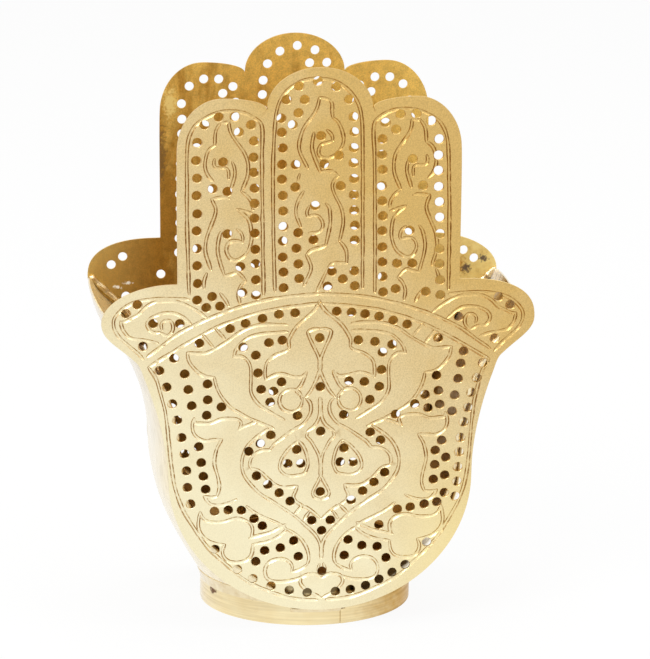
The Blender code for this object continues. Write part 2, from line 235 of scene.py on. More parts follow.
def front_face(node):
    """Triangles of a solid that face the front, with each corner as its place across and up, in mm."""
    solid = frame["nodes"][node].data
    faces = []
    for face in solid.polygons:
        if face.normal.y < FACES_FRONT:
            corners = [solid.vertices[v].co for v in face.vertices]
            faces.append([(round(c.x / MM, 3), round(c.z / MM, 3)) for c in corners])
    return faces


edge_loop, *hole_loops = loops_round(front_face("front_hand"))
cad_outline = np.array(edge_loop)
hole_places = np.array([np.mean(loop, axis=0) for loop in hole_loops])
HOLE_RADIUS = float(np.linalg.norm(np.array(hole_loops[0]) - hole_places[0], axis=1).mean())
print("outline of", len(cad_outline), "points")
print(len(hole_places), "holes of radius", round(HOLE_RADIUS, 3), "mm")

# %% [markdown]
# ## The engraver's lines
# The pattern is an old one, of split leaves, a palmette and two bands that cross. Only the left half is
# set out here, by its turning points in millimetres across and up the hand, because an engraver works
# from one half drawing and turns it over. The drawing lay a little askew on the brass, so the line that
# it is turned over on leans, too. A line that has a sharp corner is two lines that share a point.

# %% Lines of the palm: arch, upper leaf and palmette
palm_top = [
    # the arch between the palm and the fingers, and its ladder
    [(-44.2, 74.1), (-41.5, 76), (-36, 80.1), (-28.6, 83.7), (-19.8, 86.8), (-10.7, 88.8), (0, 89.6)],
    [(-43.9, 71.3), (-41.5, 72.8), (-33.6, 77.6), (-26, 81.5), (-17.2, 84.6), (-10.1, 86), (0, 87.1)],
    [(-30, 79.6), (-27.2, 76.2)],
    [(-26.6, 81), (-24.2, 78.2)],
    # the large upper leaf, from its tip over the top, and under the tendril
    [(-34, 74.9), (-30.9, 74.6), (-29, 74.7), (-23.6, 77.7), (-20.7, 79.8), (-17.8, 81.2), (-14.8, 81.8),
     (-8.2, 81.7)],
    [(-22, 73.5), (-21.3, 75.6), (-19.2, 77.9), (-17.8, 78.7), (-14.8, 79.4), (-8.2, 79.8)],
    [(-22, 73.5), (-20, 73.6), (-18.6, 72.6), (-17.7, 70.9), (-17.5, 68.5), (-17.5, 64), (-16.7, 62.2),
     (-15.2, 60.4), (-11.9, 58.2), (-8.9, 56.4)],
    [(-34, 74.9), (-33.5, 72.6), (-32.2, 70.75), (-30.6, 69.2), (-28.9, 68.4), (-27, 68.2)],
    [(-27, 68.2), (-26.6, 66.2), (-25.8, 64.2), (-24.4, 61.9), (-22.8, 60.1), (-20.4, 58.5),
     (-16.9, 56.5), (-11.7, 54.2)],
    # the palmette in the middle, with its three points on this side
    [(0.2, 87.8), (-1.3, 85.3), (-5.7, 81.2), (-7.5, 78.2), (-7.8, 77.4), (-7.6, 75.4)],
    [(-7.6, 75.4), (-8.6, 74.7), (-11, 73.8), (-13.4, 71.8), (-13.9, 69.7), (-13.8, 67.2)],
    [(-13.8, 67.2), (-12.2, 68.1), (-10.1, 68.7), (-6, 67.8), (-4.2, 67.9), (-3.1, 69.1)],
    [(-3.1, 69.1), (-3.4, 68.2), (-4.7, 65.3), (-5.7, 64), (-4.2, 62.6)],
    # the drop that hangs in the palmette, and the stem below it
    [(0.25, 80.4), (-1, 80.4), (-2.8, 79.7), (-2.6, 78.5), (-0.7, 74.4), (0.05, 72.4), (0.1, 69.4)],
    [(0.2, 69.4), (-0.1, 68.2), (-0.9, 66.2), (-2.2, 63.7), (-3.4, 62.3)],
    [(0.25, 62), (0.25, 58), (-0.1, 56.2), (-1.1, 54.6), (-3, 53.2)],
]
print("palm, upper part:", len(palm_top), "lines on each half")

# %% Lines of the palm: bands, teardrops and side leaves
palm_middle = [
    # the two bands that cross on the middle line
    [(-12.4, 48.6), (-11.6, 49.9), (-10.1, 51.1), (-6.3, 53.8), (-4.2, 55), (-2.9, 56.5), (-2.1, 58),
     (-1.9, 59.5), (-2.2, 60.9), (-3.2, 62)],
    [(-2.6, 52.9), (-3.1, 51.9), (-1.9, 50.5), (-0.9, 48.8), (0.1, 46.8), (0.5, 44.8), (0.55, 41)],
    # the teardrop round its holes, and half of the small drop below
    [(-5.1, 50.7), (-7.2, 49.1), (-9.5, 46.1), (-10, 44.6), (-10, 43.2), (-8.9, 41.9), (-7.2, 41.3),
     (-5.4, 41.4), (-3.6, 41.9), (-2.9, 43.2), (-2.6, 44.6), (-3.6, 48.5), (-5.1, 50.7)],
    [(0.6, 41), (-0.1, 39.4), (-0.9, 37.9), (-1.4, 36.4), (-1, 35.4), (0.8, 34.7)],
    # the side leaf, shaped like a T, from its tip along the top and down its outer edge
    [(-32.2, 57.4), (-31.9, 56.1), (-30.7, 56), (-28, 56), (-25.4, 57), (-23.6, 57.1), (-21.3, 56.9),
     (-20.4, 56.4), (-20, 55.7), (-20.7, 54.1)],
    [(-20.7, 54.1), (-19.5, 54.8), (-16, 56.1)],
    [(-32.3, 57.2), (-32.7, 55.3), (-32.2, 53.2), (-30.8, 51.9), (-29.2, 51.3), (-27.5, 51.5),
     (-25, 51.6)],
    [(-25, 51.6), (-26.2, 49.5), (-26.8, 47.3), (-27, 45.2), (-26, 41.1), (-25.7, 39), (-25.9, 37.6),
     (-26.4, 36.3)],
    [(-26.4, 36.3), (-28, 36.1), (-29.7, 36.4)],
    [(-29.7, 36.4), (-28.9, 35.2), (-27.8, 34.2), (-25.7, 33.9), (-22.8, 34.6), (-21.3, 35.4)],
    # the outer edge of the long band down to the heel, and the leaf inside it
    [(-13.1, 54.2), (-16.6, 51.6), (-18.3, 49.7), (-19.5, 47.2), (-19.9, 44.6), (-19.4, 42.1),
     (-18.2, 40.1), (-15.2, 36.8), (-11, 34), (-6.3, 30.6), (-3.6, 28.1), (-1.6, 26.2), (-0.1, 24.3),
     (0.7, 22.3), (0.85, 18.8)],
    [(-12.3, 49.2), (-12.6, 48.5), (-14.6, 48.4), (-16.4, 47.6), (-17.5, 46.2), (-17.8, 44.5),
     (-17.4, 43.6)],
    [(-17.4, 43.6), (-15.4, 42.9), (-12.8, 40.4), (-10.4, 38.6), (-8.4, 38.2), (-5.4, 38.5)],
    [(-5.4, 38.5), (-5.9, 37), (-6.4, 35.8), (-5.9, 34.5), (-4.8, 33.6), (-2.4, 32.2), (0.7, 29.6)],
    [(-3.9, 33.3), (-6, 31)],
    [(-2.3, 31.4), (-3.6, 29.4)],
]
print("palm, middle part:", len(palm_middle), "lines on each half")

# %% Lines of the palm: low leaf, low scroll and heart
palm_low = [
    # under the long band, down to the stem of the low leaf
    [(-18.6, 33.4), (-17.2, 32.2), (-14.8, 30.7), (-9.8, 28.2), (-8.1, 26.9)],
    [(-8.5, 28.2), (-12.5, 26.2), (-15.5, 25.4), (-17.8, 24.8)],
    [(-8.1, 26.9), (-9.5, 25.6), (-11.2, 24.5), (-13.2, 23.7), (-17.1, 23)],
    # the low leaf and its round lobe
    [(-17.5, 24.9), (-17.1, 26.3), (-17.2, 27.8), (-18, 29), (-19.4, 29.8), (-21.3, 30.2), (-24.8, 29.4),
     (-26.6, 29.3), (-28.6, 29.6), (-30, 30.6), (-30.7, 32.2)],
    [(-30.7, 32.2), (-31, 30.6), (-31.2, 28.6), (-30.9, 27), (-30, 25.6), (-28.5, 24.3), (-26.8, 23.6),
     (-24.3, 23.2)],
    [(-24.3, 23.2), (-24.9, 21.5), (-24.5, 19.9), (-23.4, 18.7), (-21.7, 18.3), (-19.6, 18.5),
     (-18, 19.3), (-17.2, 20.7), (-17, 22.9)],
    # the low scroll that curls back to its ball
    [(-8.1, 26.9), (-6.9, 26.2), (-5.5, 25.2), (-4, 23.6), (-2.9, 21.7), (-2.4, 20), (-2.3, 18.5),
     (-2.7, 17.2)],
    [(-2.7, 17.2), (-3.4, 16.6), (-4.8, 15.8), (-6.6, 15.2)],
    [(-6.9, 15.2), (-6.6, 16.6), (-7.2, 17.8), (-8.4, 18.6), (-10.1, 18.9), (-12.2, 18.4), (-13.4, 17.2),
     (-13.8, 15.6), (-13.4, 13.9), (-12.6, 13.2), (-11, 12.7), (-7.2, 12.8), (-1.2, 14.8)],
    [(0.5, 17.2), (0, 15.5)],
    # half of the heart
    [(0.9, 13.5), (-0.6, 14.4), (-2.5, 14.4), (-4.2, 13.6), (-4.5, 12.2), (-3.6, 10.8), (-1.8, 9.5),
     (0.9, 8)],
    # the line that follows the edge of the palm
    [(-43.9, 71.3), (-42.1, 68.4), (-41.25, 65.75), (-39.7, 59.5), (-38.75, 51.4), (-38.1, 44.5),
     (-37.2, 38.9), (-35.3, 33.25), (-32.5, 28.25), (-28.75, 22.6), (-23.75, 17.6), (-18.75, 13.25),
     (-12.5, 10.1), (-6.25, 7.9), (0, 7.3)],
]
print("palm, lower part:", len(palm_low), "lines on each half")

# %% Lines of a side finger and a thumb
side_finger = [
    # the line that follows the finger's edge
    [(-33.4, 90.1), (-33.7, 99.7), (-33.9, 110), (-33.9, 120.5), (-33.9, 125.6), (-33.7, 129),
     (-33.1, 131.5), (-31.8, 133.8), (-29.8, 135.4), (-27.5, 136.6), (-25, 137.3), (-22, 137.4),
     (-19.4, 136.9), (-16.9, 135.7), (-15.25, 134.3), (-14.8, 133), (-14.8, 125), (-14.65, 110),
     (-14.3, 89.7)],
    # the upper leaf
    [(-25.4, 134.4), (-26.3, 133), (-26.7, 131.5), (-26.8, 128.7)],
    [(-26.8, 128.7), (-27.9, 128), (-28.7, 126.9), (-29.3, 123.6), (-29, 122), (-28.2, 120.5),
     (-27.2, 119.5)],
    [(-25.4, 134.4), (-23.2, 134.6)],
    [(-23.2, 134.6), (-23.1, 133.2), (-22.6, 131.5), (-19.2, 126.4), (-18.5, 124.4), (-18.3, 122.4),
     (-18.5, 120.5), (-20, 116.7)],
    [(-22.4, 124.4), (-21.8, 122.8), (-21.7, 121), (-22.8, 117.1)],
    [(-26.9, 125.2), (-27.1, 124), (-26.6, 123), (-25.3, 122.8), (-24.2, 122.9), (-23.4, 122.2),
     (-23.3, 120)],
    # the tie between the leaves, and the lower leaf with its scroll
    [(-27.6, 114.9), (-24.2, 115.3), (-23.2, 115)],
    [(-27.6, 114.9), (-26.6, 112.3), (-26.7, 110.9), (-27.3, 109.2), (-28.8, 105.2), (-29.2, 103.2),
     (-29.2, 101.1), (-27.8, 96.5)],
    [(-21.2, 112.2), (-19.2, 110.5), (-18.1, 109.1), (-17.4, 105.2), (-17.7, 102.9), (-18.6, 100.8),
     (-20.1, 99.4), (-21.5, 98.8), (-22.7, 99.2), (-23.6, 100.5), (-23.9, 101.7), (-23.6, 102.9),
     (-22.7, 103.8), (-21.2, 103.9), (-19.8, 103.5)],
    [(-19.8, 103.5), (-19.6, 104.4), (-20.2, 106.1), (-21.2, 106.9)],
    [(-24.6, 107), (-25.4, 105.8), (-25.9, 103.8), (-26.1, 101.7), (-25.8, 99.6), (-24.4, 94.9)],
    [(-24.4, 94.9), (-22.7, 95.2), (-21.2, 95.7), (-20.1, 94.9), (-18.9, 93.5)],
    [(-18.9, 93.5), (-19.8, 92.6), (-20.6, 91.1), (-20.8, 89.6), (-20.4, 87.6)],
    [(-28.9, 95.5), (-29.5, 93.8), (-29.6, 91.7)],
    [(-25.4, 90.2), (-24.3, 88.8), (-23.3, 87)],
    [(-19.8, 116.5), (-18.2, 115), (-17.3, 113.4), (-17.1, 111.9)],
    [(-21.2, 112.2), (-19.5, 111.7), (-17.3, 111)],
]
thumb = [
    [(-33.5, 88.9), (-40, 89.2), (-45.1, 88.9), (-48.5, 87.9), (-51, 86.2), (-52.6, 84.2), (-52.8, 82.6),
     (-52.3, 80.8), (-51, 79), (-49, 77.2), (-46.8, 75.2), (-45.2, 73.5)],
    [(-51, 83.4), (-50.1, 83.4), (-48, 84.4), (-46.2, 85.4), (-44.8, 86.9), (-43.3, 87.9), (-41.8, 88.4),
     (-38, 88.5), (-35.6, 88.1), (-31.5, 86), (-29.2, 84.2)],
    [(-51, 83.4), (-50.5, 81.5), (-49.5, 80), (-48.6, 79.2), (-44.5, 78.4), (-41.5, 77.6)],
    [(-33, 82.5), (-35.4, 84.5), (-37.4, 85.4), (-40.4, 85.4), (-42.1, 84.8), (-43.6, 83.9),
     (-44.2, 82.5), (-43.7, 81.3), (-42.7, 80.4), (-40.9, 80.4)],
    [(-40.9, 80.4), (-38.9, 79.5), (-37.7, 80.7), (-37.6, 82.2), (-38.3, 83.4), (-39.8, 83.4),
     (-40.6, 82.5), (-40.4, 81)],
]
print("side finger:", len(side_finger), "lines, thumb:", len(thumb))

# %% Lines of the middle finger
middle_finger = [
    # the line that follows the finger's edge
    [(-11.4, 90.5), (-11.9, 109), (-11.9, 126.5), (-11.4, 134.7), (-11.05, 137.6), (-10, 140.5),
     (-7.95, 142.9), (-5.4, 144.6), (-2.5, 145.35), (0.4, 145.4), (3, 144.9), (5.3, 143.8), (7.4, 142.1),
     (9.1, 139.9), (10.1, 137.6), (10.6, 135), (10.9, 126), (11.2, 91)],
    # the upper leaf with its scroll
    [(-0.25, 140.6), (-0.7, 138.4), (-1.5, 136.6), (-4.3, 132.5), (-5.4, 128.4), (-5.1, 126.6),
     (-3.1, 122.5)],
    [(-0.25, 140.6), (1.6, 140.2), (2.9, 139.2), (3, 137), (3.2, 135.3)],
    [(3.2, 135.3), (4.4, 134.4), (5.4, 132.5), (6, 130.3), (5.8, 128.4), (4.9, 126.9), (3.5, 125.5),
     (1.6, 125), (0.2, 125.3), (-0.4, 126.3), (-0.25, 127.5), (0.4, 128.6), (1.6, 128.9), (3.3, 129.4)],
    [(3.3, 129.4), (3, 130.9), (1.8, 132.2)],
    [(-1.6, 131.5), (-2.1, 128), (-1.6, 125.8), (0.1, 121.4)],
    [(0.1, 121.4), (1.6, 121.6), (3.2, 121.4), (4.75, 120.3)],
    [(4.75, 120.3), (4, 119.7), (3.2, 118), (3.6, 116), (5.5, 112.1), (6, 109.9), (6, 107.4),
     (5.1, 103.3)],
    # the lower leaf, its scroll and its root
    [(5.1, 103.3), (6, 102.4), (6.9, 100.8), (7.1, 97.5)],
    [(7.1, 97.5), (5.4, 97.7), (3.5, 97.7), (2.6, 96.75), (-0.6, 90.3)],
    [(1.6, 113.2), (2.4, 112.2), (2.7, 110.2), (2.7, 107.7), (1.6, 102.2)],
    [(1.6, 102.2), (-0.25, 101.6), (-2.1, 101.1), (-3.4, 99.9)],
    [(-3.4, 99.9), (-2.75, 98.6), (-2.1, 96.75), (-2.3, 95.5), (-4, 91.75)],
    [(-2.7, 112.6), (-3.3, 111), (-3, 109.9), (-1.5, 110.3), (-0.3, 109.9), (0.6, 108.7), (0.8, 107.3),
     (0.3, 106.2), (-1, 105.6), (-2.6, 105.6)],
    [(-5.25, 120.9), (-5.7, 119.1)],
    [(-4.2, 116.5), (-5.3, 114.6), (-6, 112.7), (-6.1, 110.8), (-4.8, 107.2)],
]
print("middle finger:", len(middle_finger), "lines")

# %% Turn the half drawing over
AXIS_FOOT = 0.25
AXIS_LEAN = math.radians(0.78)
AXIS_HEIGHT = 75.0
BALL_MIDDLE = (-7.2, 61.5)
BALL_RADIUS = 3.0
BALL_POINTS = 13
RIGHT_LEAF_SHIFT = 1.4


def turned_over(line, shift=0.0):
    """The same line on the other side of the pattern's leaning middle line, moved across by a shift."""
    axis = [AXIS_FOOT - math.tan(AXIS_LEAN) * (z - AXIS_HEIGHT) for _, z in line]
    return [(2 * middle - x + shift, z) for middle, (x, z) in zip(axis, line)]


ball = [
    (BALL_MIDDLE[0] + BALL_RADIUS * math.cos(turn), BALL_MIDDLE[1] + BALL_RADIUS * math.sin(turn))
    for turn in np.linspace(0, 2 * math.pi, BALL_POINTS)
]
finger_edge, *finger_leaves = side_finger
half_drawing = palm_top + palm_middle + palm_low + thumb + [ball, finger_edge]
drawing = half_drawing + [turned_over(line) for line in half_drawing] + middle_finger
drawing += finger_leaves + [turned_over(line, RIGHT_LEAF_SHIFT) for line in finger_leaves]
print(len(drawing), "lines in the whole drawing")

# %% [markdown]
# ## A hand's wander
# A line that is cut by hand wavers a little, and the tool bites wider in one place than in the next. Each
# line is first drawn smooth through its turning points. It is then pushed aside and its width is changed
# by a slow random wave, whose numbers come from a seed, so that every run cuts the same lines. At both
# ends the tool comes out of the metal, so the line narrows there. The tool also chatters: within each
# millimetre it digs deeper and shallower, and that is what makes a cut glitter.

# %% Cut the lines
TRACE_STEP = 0.1
TRACES_PER_EDGE = 7
WANDER = 0.035
WANDER_LENGTH = 2.5
BITE = 0.2
TIP_LENGTH = 0.8
TIP_WIDTH = 0.6
CHATTER = 0.5
CHATTER_LENGTH = 0.9
HAND_SEED = 3
TOOL_SEED = 5


def smooth_line(points, step):
    """A smooth line through the given points, as evenly spaced points."""
    knots = np.array(points, float)
    knots = np.vstack([2 * knots[0] - knots[1], knots, 2 * knots[-1] - knots[-2]])
    gaps = np.sqrt(np.linalg.norm(np.diff(knots, axis=0), axis=1))
    pieces = []
    for i in range(1, len(knots) - 2):
        before, start, end, after = knots[i - 1:i + 3]
        near, here, far = gaps[i - 1:i + 2]
        ahead = end - start
        leave = ahead + here * ((start - before) / near - (end - before) / (near + here))
        arrive = ahead + here * ((after - end) / far - (after - start) / (here + far))
        count = max(2, math.ceil(np.linalg.norm(ahead) / step))
        t = np.linspace(0, 1, count, endpoint=False)[:, None]
        bend = 3 * ahead - 2 * leave - arrive
        twist = leave + arrive - 2 * ahead
        pieces.append(start + leave * t + bend * t**2 + twist * t**3)
    return np.vstack([*pieces, knots[-2:-1]])


def aside(line, distance, closed=False):
    """A line moved to its left by a distance, or by one distance for each point."""
    ahead = np.roll(line, -1, axis=0) - np.roll(line, 1, axis=0) if closed else np.gradient(line, axis=0)
    ahead /= np.linalg.norm(ahead, axis=1)[:, None]
    return line + np.stack([-ahead[:, 1], ahead[:, 0]], axis=1) * np.reshape(distance, (-1, 1))


def random_wave(run, length, hand):
    """A random wave between -1 and 1 along a run of places."""
    knots = np.arange(0, run[-1] + 2 * length, length)
    return np.interp(run, knots, [hand.uniform(-1, 1) for _ in knots])


hand = random.Random(HAND_SEED)
tool = random.Random(TOOL_SEED)
traces = []
chatter = []
for line in drawing:
    trace = smooth_line(line, TRACE_STEP)
    run = np.append(0, np.cumsum(np.linalg.norm(np.diff(trace, axis=0), axis=1)))
    trace = aside(trace, WANDER * random_wave(run, WANDER_LENGTH, hand))
    tip = np.interp(np.minimum(run, run[-1] - run), [0, TIP_LENGTH], [TIP_WIDTH, 1])
    traces.append((trace, tip * (1 + BITE * random_wave(run, WANDER_LENGTH, hand))))
    chatter.append(1 + CHATTER * random_wave(run, CHATTER_LENGTH, tool))
line_length = sum(np.linalg.norm(np.diff(trace, axis=0), axis=1).sum() for trace, _ in traces)
print(len(traces), "engraved lines,", round(line_length), "mm in all")

# %% [markdown]
# ## The engraved sheet
# Each line is a shallow flat-bottomed groove, about a millimetre wide. A bump map would lose it from the
# side, so the groove is cut into the mesh: its two rims and the two edges of its floor become edges of the
# sheet, and the triangles between them are found by a constrained triangulation. A point's depth follows
# from how far it lies from the nearest line, so lines that cross or touch join by themselves. Round each
# hole the punch has pulled the metal down a little. The sheet's own edge is eased with a file, most where
# it looks up, because fingers touch it there.

# %% Lines of the sheet: outline, holes and grooves
GROOVE_RIM = 0.52
GROOVE_FLOOR = 0.18
GROOVE_DEPTH = 0.22
HOLE_SIDES = 24
HOLE_RIMS = (0, 0.09, 0.22)
HOLE_DEPTHS = (0.13, 0.03, 0)
EDGE_EASE = 0.24
SIDE_EDGE_DEPTH = 0.05
UPPER_EDGE_DEPTH = 0.17
SOFT_TURN = math.radians(25)
OUTLINE_STEP = 1.0
GROOVE_END_POINTS = 6
HOLE_SQUASH = 0.025
PUNCH_SEED = 11


def rounded_outline(points):
    """The outline with the facets between its real corners made round."""
    before = points - np.roll(points, 1, axis=0)
    after = np.roll(points, -1, axis=0) - points
    cross = before[:, 0] * after[:, 1] - before[:, 1] * after[:, 0]
    turn = np.arctan2(cross, (before * after).sum(axis=1))
    start = int(np.argmax(np.abs(turn)))
    ring = np.roll(points, -start, axis=0)
    corners = [i for i in range(len(ring)) if abs(np.roll(turn, -start)[i]) > SOFT_TURN]
    ring = np.vstack([ring, ring[:1]])
    pieces = []
    for first, last in zip(corners, [*corners[1:], len(ring) - 1]):
        pieces.append(smooth_line(ring[first:last + 1], OUTLINE_STEP)[:-1])
    return np.vstack(pieces)


def round_groove_end(end, ahead, radius):
    """Half a turn round the end of a groove."""
    heading = math.atan2(ahead[1], ahead[0])
    turns = heading + np.linspace(math.pi / 2, -math.pi / 2, GROOVE_END_POINTS)
    return end + radius * np.stack([np.cos(turns), np.sin(turns)], axis=1)


def groove_edge(trace, radii):
    """The closed edge of a groove, up one side of its line and down the other."""
    every = np.unique(np.append(np.arange(0, len(trace), TRACES_PER_EDGE), len(trace) - 1))
    line, radii = trace[every], radii[every]
    far = round_groove_end(line[-1], line[-1] - line[-2], radii[-1])
    near = round_groove_end(line[0], line[0] - line[1], radii[0])
    return np.vstack([aside(line, radii)[1:-1], far, aside(line, -radii)[-2:0:-1], near])


def punched_ring(place, radius, squash, turn):
    """One ring of a punched hole, a little out of round."""
    turns = np.linspace(0, 2 * math.pi, HOLE_SIDES, endpoint=False)
    reach = radius * (1 + squash * np.cos(2 * (turns - turn)))
    return place + np.stack([reach * np.cos(turns), reach * np.sin(turns)], axis=1)


outline = rounded_outline(cad_outline)
punch = random.Random(PUNCH_SEED)
hole_rings = []
for place in hole_places:
    shape = (punch.uniform(0, HOLE_SQUASH), punch.uniform(0, math.pi))
    hole_rings.append([punched_ring(place, HOLE_RADIUS + rim, *shape) for rim in HOLE_RIMS])
print("outline now of", len(outline), "points, each hole of", HOLE_SIDES)

# %% Triangles between the lines
TOUCHING = 0.0005
ALL_TRIANGLES = 0


class SheetLines:
    """The points and edges that the triangles of a sheet have to keep."""

    def __init__(self):
        self.points = []
        self.edges = []

    def add(self, line):
        first = len(self.points)
        self.points.extend(Vector(p) for p in line)
        numbers = list(range(first, len(self.points)))
        self.edges.extend(zip(numbers, [*numbers[1:], first]))
        return numbers

    def triangles(self, loops):
        """Points and triangles of the metal inside the first loop and outside the others."""
        found = delaunay_2d_cdt(self.points, self.edges, loops, ALL_TRIANGLES, TOUCHING, True)
        flat, _, faces, _, _, inside = found
        metal = [face for face, owners in zip(faces, inside) if owners == [0]]
        used = sorted({v for face in metal for v in face})
        renumber = {old: new for new, old in enumerate(used)}
        return np.array([flat[v] for v in used]), [tuple(renumber[v] for v in face) for face in metal]


lines = SheetLines()
loops = [lines.add(outline)]
loops += [lines.add(rings[0]) for rings in hole_rings]
for rings in hole_rings:
    for ring in rings[1:]:
        lines.add(ring)
lines.add(aside(outline, -EDGE_EASE, closed=True))
for trace, width in traces:
    lines.add(groove_edge(trace, GROOVE_RIM * width))
    lines.add(groove_edge(trace, GROOVE_FLOOR * width))
face_points, face_triangles = lines.triangles(loops)
print("engraved face:", len(face_points), "points,", len(face_triangles), "triangles")

# %% Sink the grooves
HAND_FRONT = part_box("front_hand")[0].y / MM
HAND_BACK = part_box("front_hand")[1].y / MM


def nearest(points, places):
    """For each point, the number of the nearest place and the distance to it."""
    finder = KDTree(len(places))
    for number, place in enumerate(places):
        finder.insert((*place, 0), number)
    finder.balance()
    found = [finder.find((*p, 0)) for p in points]
    return np.array([number for _, number, _ in found]), np.array([far for _, _, far in found])


line_number, line_distance = nearest(face_points, np.vstack([trace for trace, _ in traces]))
bite = np.concatenate([width for _, width in traces])[line_number]
engraved = np.clip((GROOVE_RIM - line_distance / bite) / (GROOVE_RIM - GROOVE_FLOOR), 0, 1)
_, hole_distance = nearest(face_points, hole_places)
pulled_down = np.interp(hole_distance - HOLE_RADIUS, HOLE_RIMS, HOLE_DEPTHS)
bounce = np.concatenate(chatter)[line_number]
depth = np.maximum(GROOVE_DEPTH * engraved * bite * bounce, pulled_down)
edge_rim, *hole_rims = loops_round(face_triangles)
rim = face_points[edge_rim]
rim_rise = (aside(rim, 1, closed=True) - rim)[:, 1]
rim_rise *= np.sign(rim_rise[np.argmax(rim[:, 1])])
depth[edge_rim] = np.interp(rim_rise, [0, 1], [SIDE_EDGE_DEPTH, UPPER_EDGE_DEPTH])
print("grooves sunk:", round(float(depth.max()), 2), "mm at the deepest;", len(hole_rims), "holes kept")

# %% Close the sheet at its back
rim_loops = [edge_rim, *(loop[::-1] for loop in hole_rims)]
rim_numbers = [v for loop in rim_loops for v in loop]
back_lines = SheetLines()
back_loops = [back_lines.add(face_points[loop]) for loop in rim_loops]
back_points, back_triangles = back_lines.triangles(back_loops)
back_of = {v: len(face_points) + number for number, v in enumerate(rim_numbers)}
front_side = np.column_stack([face_points[:, 0], HAND_FRONT + depth, face_points[:, 1]])
back_side = np.column_stack([back_points[:, 0], np.full(len(back_points), HAND_BACK), back_points[:, 1]])
rim_faces = [
    (a, b, back_of[b], back_of[a]) for loop in rim_loops for a, b in zip(loop, [*loop[1:], loop[0]])
]
back_faces = [tuple(len(face_points) + v for v in reversed(face)) for face in back_triangles]
print("plain face:", len(back_points), "points,", len(back_triangles), "triangles")

# %% [markdown]
# ## The front hand
# The points and faces become a mesh, and the mesh an object. Two attributes go with it for the brass to
# read: how deep a point is engraved, and whether it looks into the holder. From here on operators do the
# work, as in Blender's own window. An operator works on whatever is selected, and loading the frame leaves
# its solids selected. Each step therefore starts by picking one object alone, in object mode.


# %% Make the front hand
HAND_SMOOTH = math.radians(12)


def pick(piece):
    bpy.ops.object.select_all(action="DESELECT")
    piece.select_set(True)
    bpy.context.view_layer.objects.active = piece


def start_editing(piece):
    pick(piece)
    bpy.ops.object.mode_set(mode="EDIT")
    bpy.ops.mesh.select_all(action="SELECT")


def stop_editing():
    bpy.ops.object.mode_set(mode="OBJECT")


def mark_inner(piece, shares):
    """Notes which points look into the holder, for the brass to read."""
    inner = piece.data.attributes.new("inner", "FLOAT", "POINT")
    inner.data.foreach_set("value", [float(share) for share in shares])


sheet = bpy.data.meshes.new("engraved_front_hand")
sheet.from_pydata(np.vstack([front_side, back_side]) * MM, [], face_triangles + rim_faces + back_faces)
depth_share = sheet.attributes.new("engraved", "FLOAT", "POINT")
depth_share.data.foreach_set("value", [*engraved, *np.zeros(len(back_points))])
front_hand = bpy.data.objects.new("engraved_front_hand", sheet)
mark_inner(front_hand, [*np.zeros(len(face_points)), *np.ones(len(back_points))])
bpy.context.scene.collection.objects.link(front_hand)
start_editing(front_hand)
bpy.ops.mesh.normals_make_consistent(inside=False)
stop_editing()
bpy.ops.object.shade_smooth_by_angle(angle=HAND_SMOOTH)
print("front hand:", len(sheet.vertices), "points,", len(sheet.polygons), "faces")

# %% [markdown]
# ## The rear hand
# A maker cuts both hands from one drawing, so the rear hand is a copy of the front one, turned half round so
# that its engraving faces the back. The turn is applied: it goes into the copy's mesh, and the object
# itself stays at the origin, unturned, which keeps the patterns of the brass in place.

# %% Turn a copy round for the rear hand
bpy.ops.object.duplicate()
rear_hand = bpy.context.object
rear_hand.name = "engraved_rear_hand"
rear_hand.rotation_euler.z = math.pi
bpy.ops.object.transform_apply(location=True, rotation=True, scale=True)
print("rear hand at y", [round(rear_hand.bound_box[0][1] / MM, 2), round(rear_hand.bound_box[6][1] / MM, 2)])

# %% [markdown]
# ## Side walls
# Each wall is one sheet that starts round, on the ring, and ends almost straight between the thumbs. The
# solid of the frame has that shape in coarse steps, so a copy of it is the start. Only the outer skin is
# kept: the sharp edges of the sheet are marked as seams, and what is linked to the outermost face without
# crossing a seam stays. A skin is easier to fit than a sheet with two faces.


# %% Keep the outer skin of each wall
MERGE_DISTANCE = 0.005 * MM
SHARP_EDGE = math.radians(50)


def copy_of(node, name):
    """A copy of a CAD solid as one joined mesh, with nothing of the solid's own look."""
    piece = frame["nodes"][node].copy()
    piece.data = piece.data.copy()
    piece.name = name
    piece.data.materials.clear()
    for key in list(piece.keys()):
        del piece[key]
    piece.parent = None
    bpy.context.scene.collection.objects.link(piece)
    start_editing(piece)
    bpy.ops.mesh.customdata_custom_splitnormals_clear()
    bpy.ops.mesh.remove_doubles(threshold=MERGE_DISTANCE)
    stop_editing()
    return piece


def keep_outer_skin(wall, side):
    """Keeps only the faces on the outside of a wall, up to the sharp edges of its sheet."""
    start_editing(wall)
    bpy.ops.mesh.select_mode(type="EDGE")
    bpy.ops.mesh.select_all(action="DESELECT")
    bpy.ops.mesh.edges_select_sharp(sharpness=SHARP_EDGE)
    bpy.ops.mesh.mark_seam()
    bpy.ops.mesh.select_mode(type="FACE")
    bpy.ops.mesh.select_all(action="DESELECT")
    stop_editing()
    outermost = max(wall.data.polygons, key=lambda face: side * (face.center.x + face.normal.x))
    outermost.select = True
    bpy.ops.object.mode_set(mode="EDIT")
    bpy.ops.mesh.select_linked(delimit={"SEAM"})
    bpy.ops.mesh.select_all(action="INVERT")
    bpy.ops.mesh.delete(type="FACE")
    bpy.ops.mesh.select_all(action="SELECT")
    bpy.ops.mesh.tris_convert_to_quads(face_threshold=1, shape_threshold=1)
    stop_editing()


left_wall = copy_of("left_side_wall", "chased_left_wall")
right_wall = copy_of("right_side_wall", "chased_right_wall")
walls = [(left_wall, -1), (right_wall, 1)]
for wall, side in walls:
    keep_outer_skin(wall, side)
    print(wall.name, "keeps", len(wall.data.polygons), "faces")

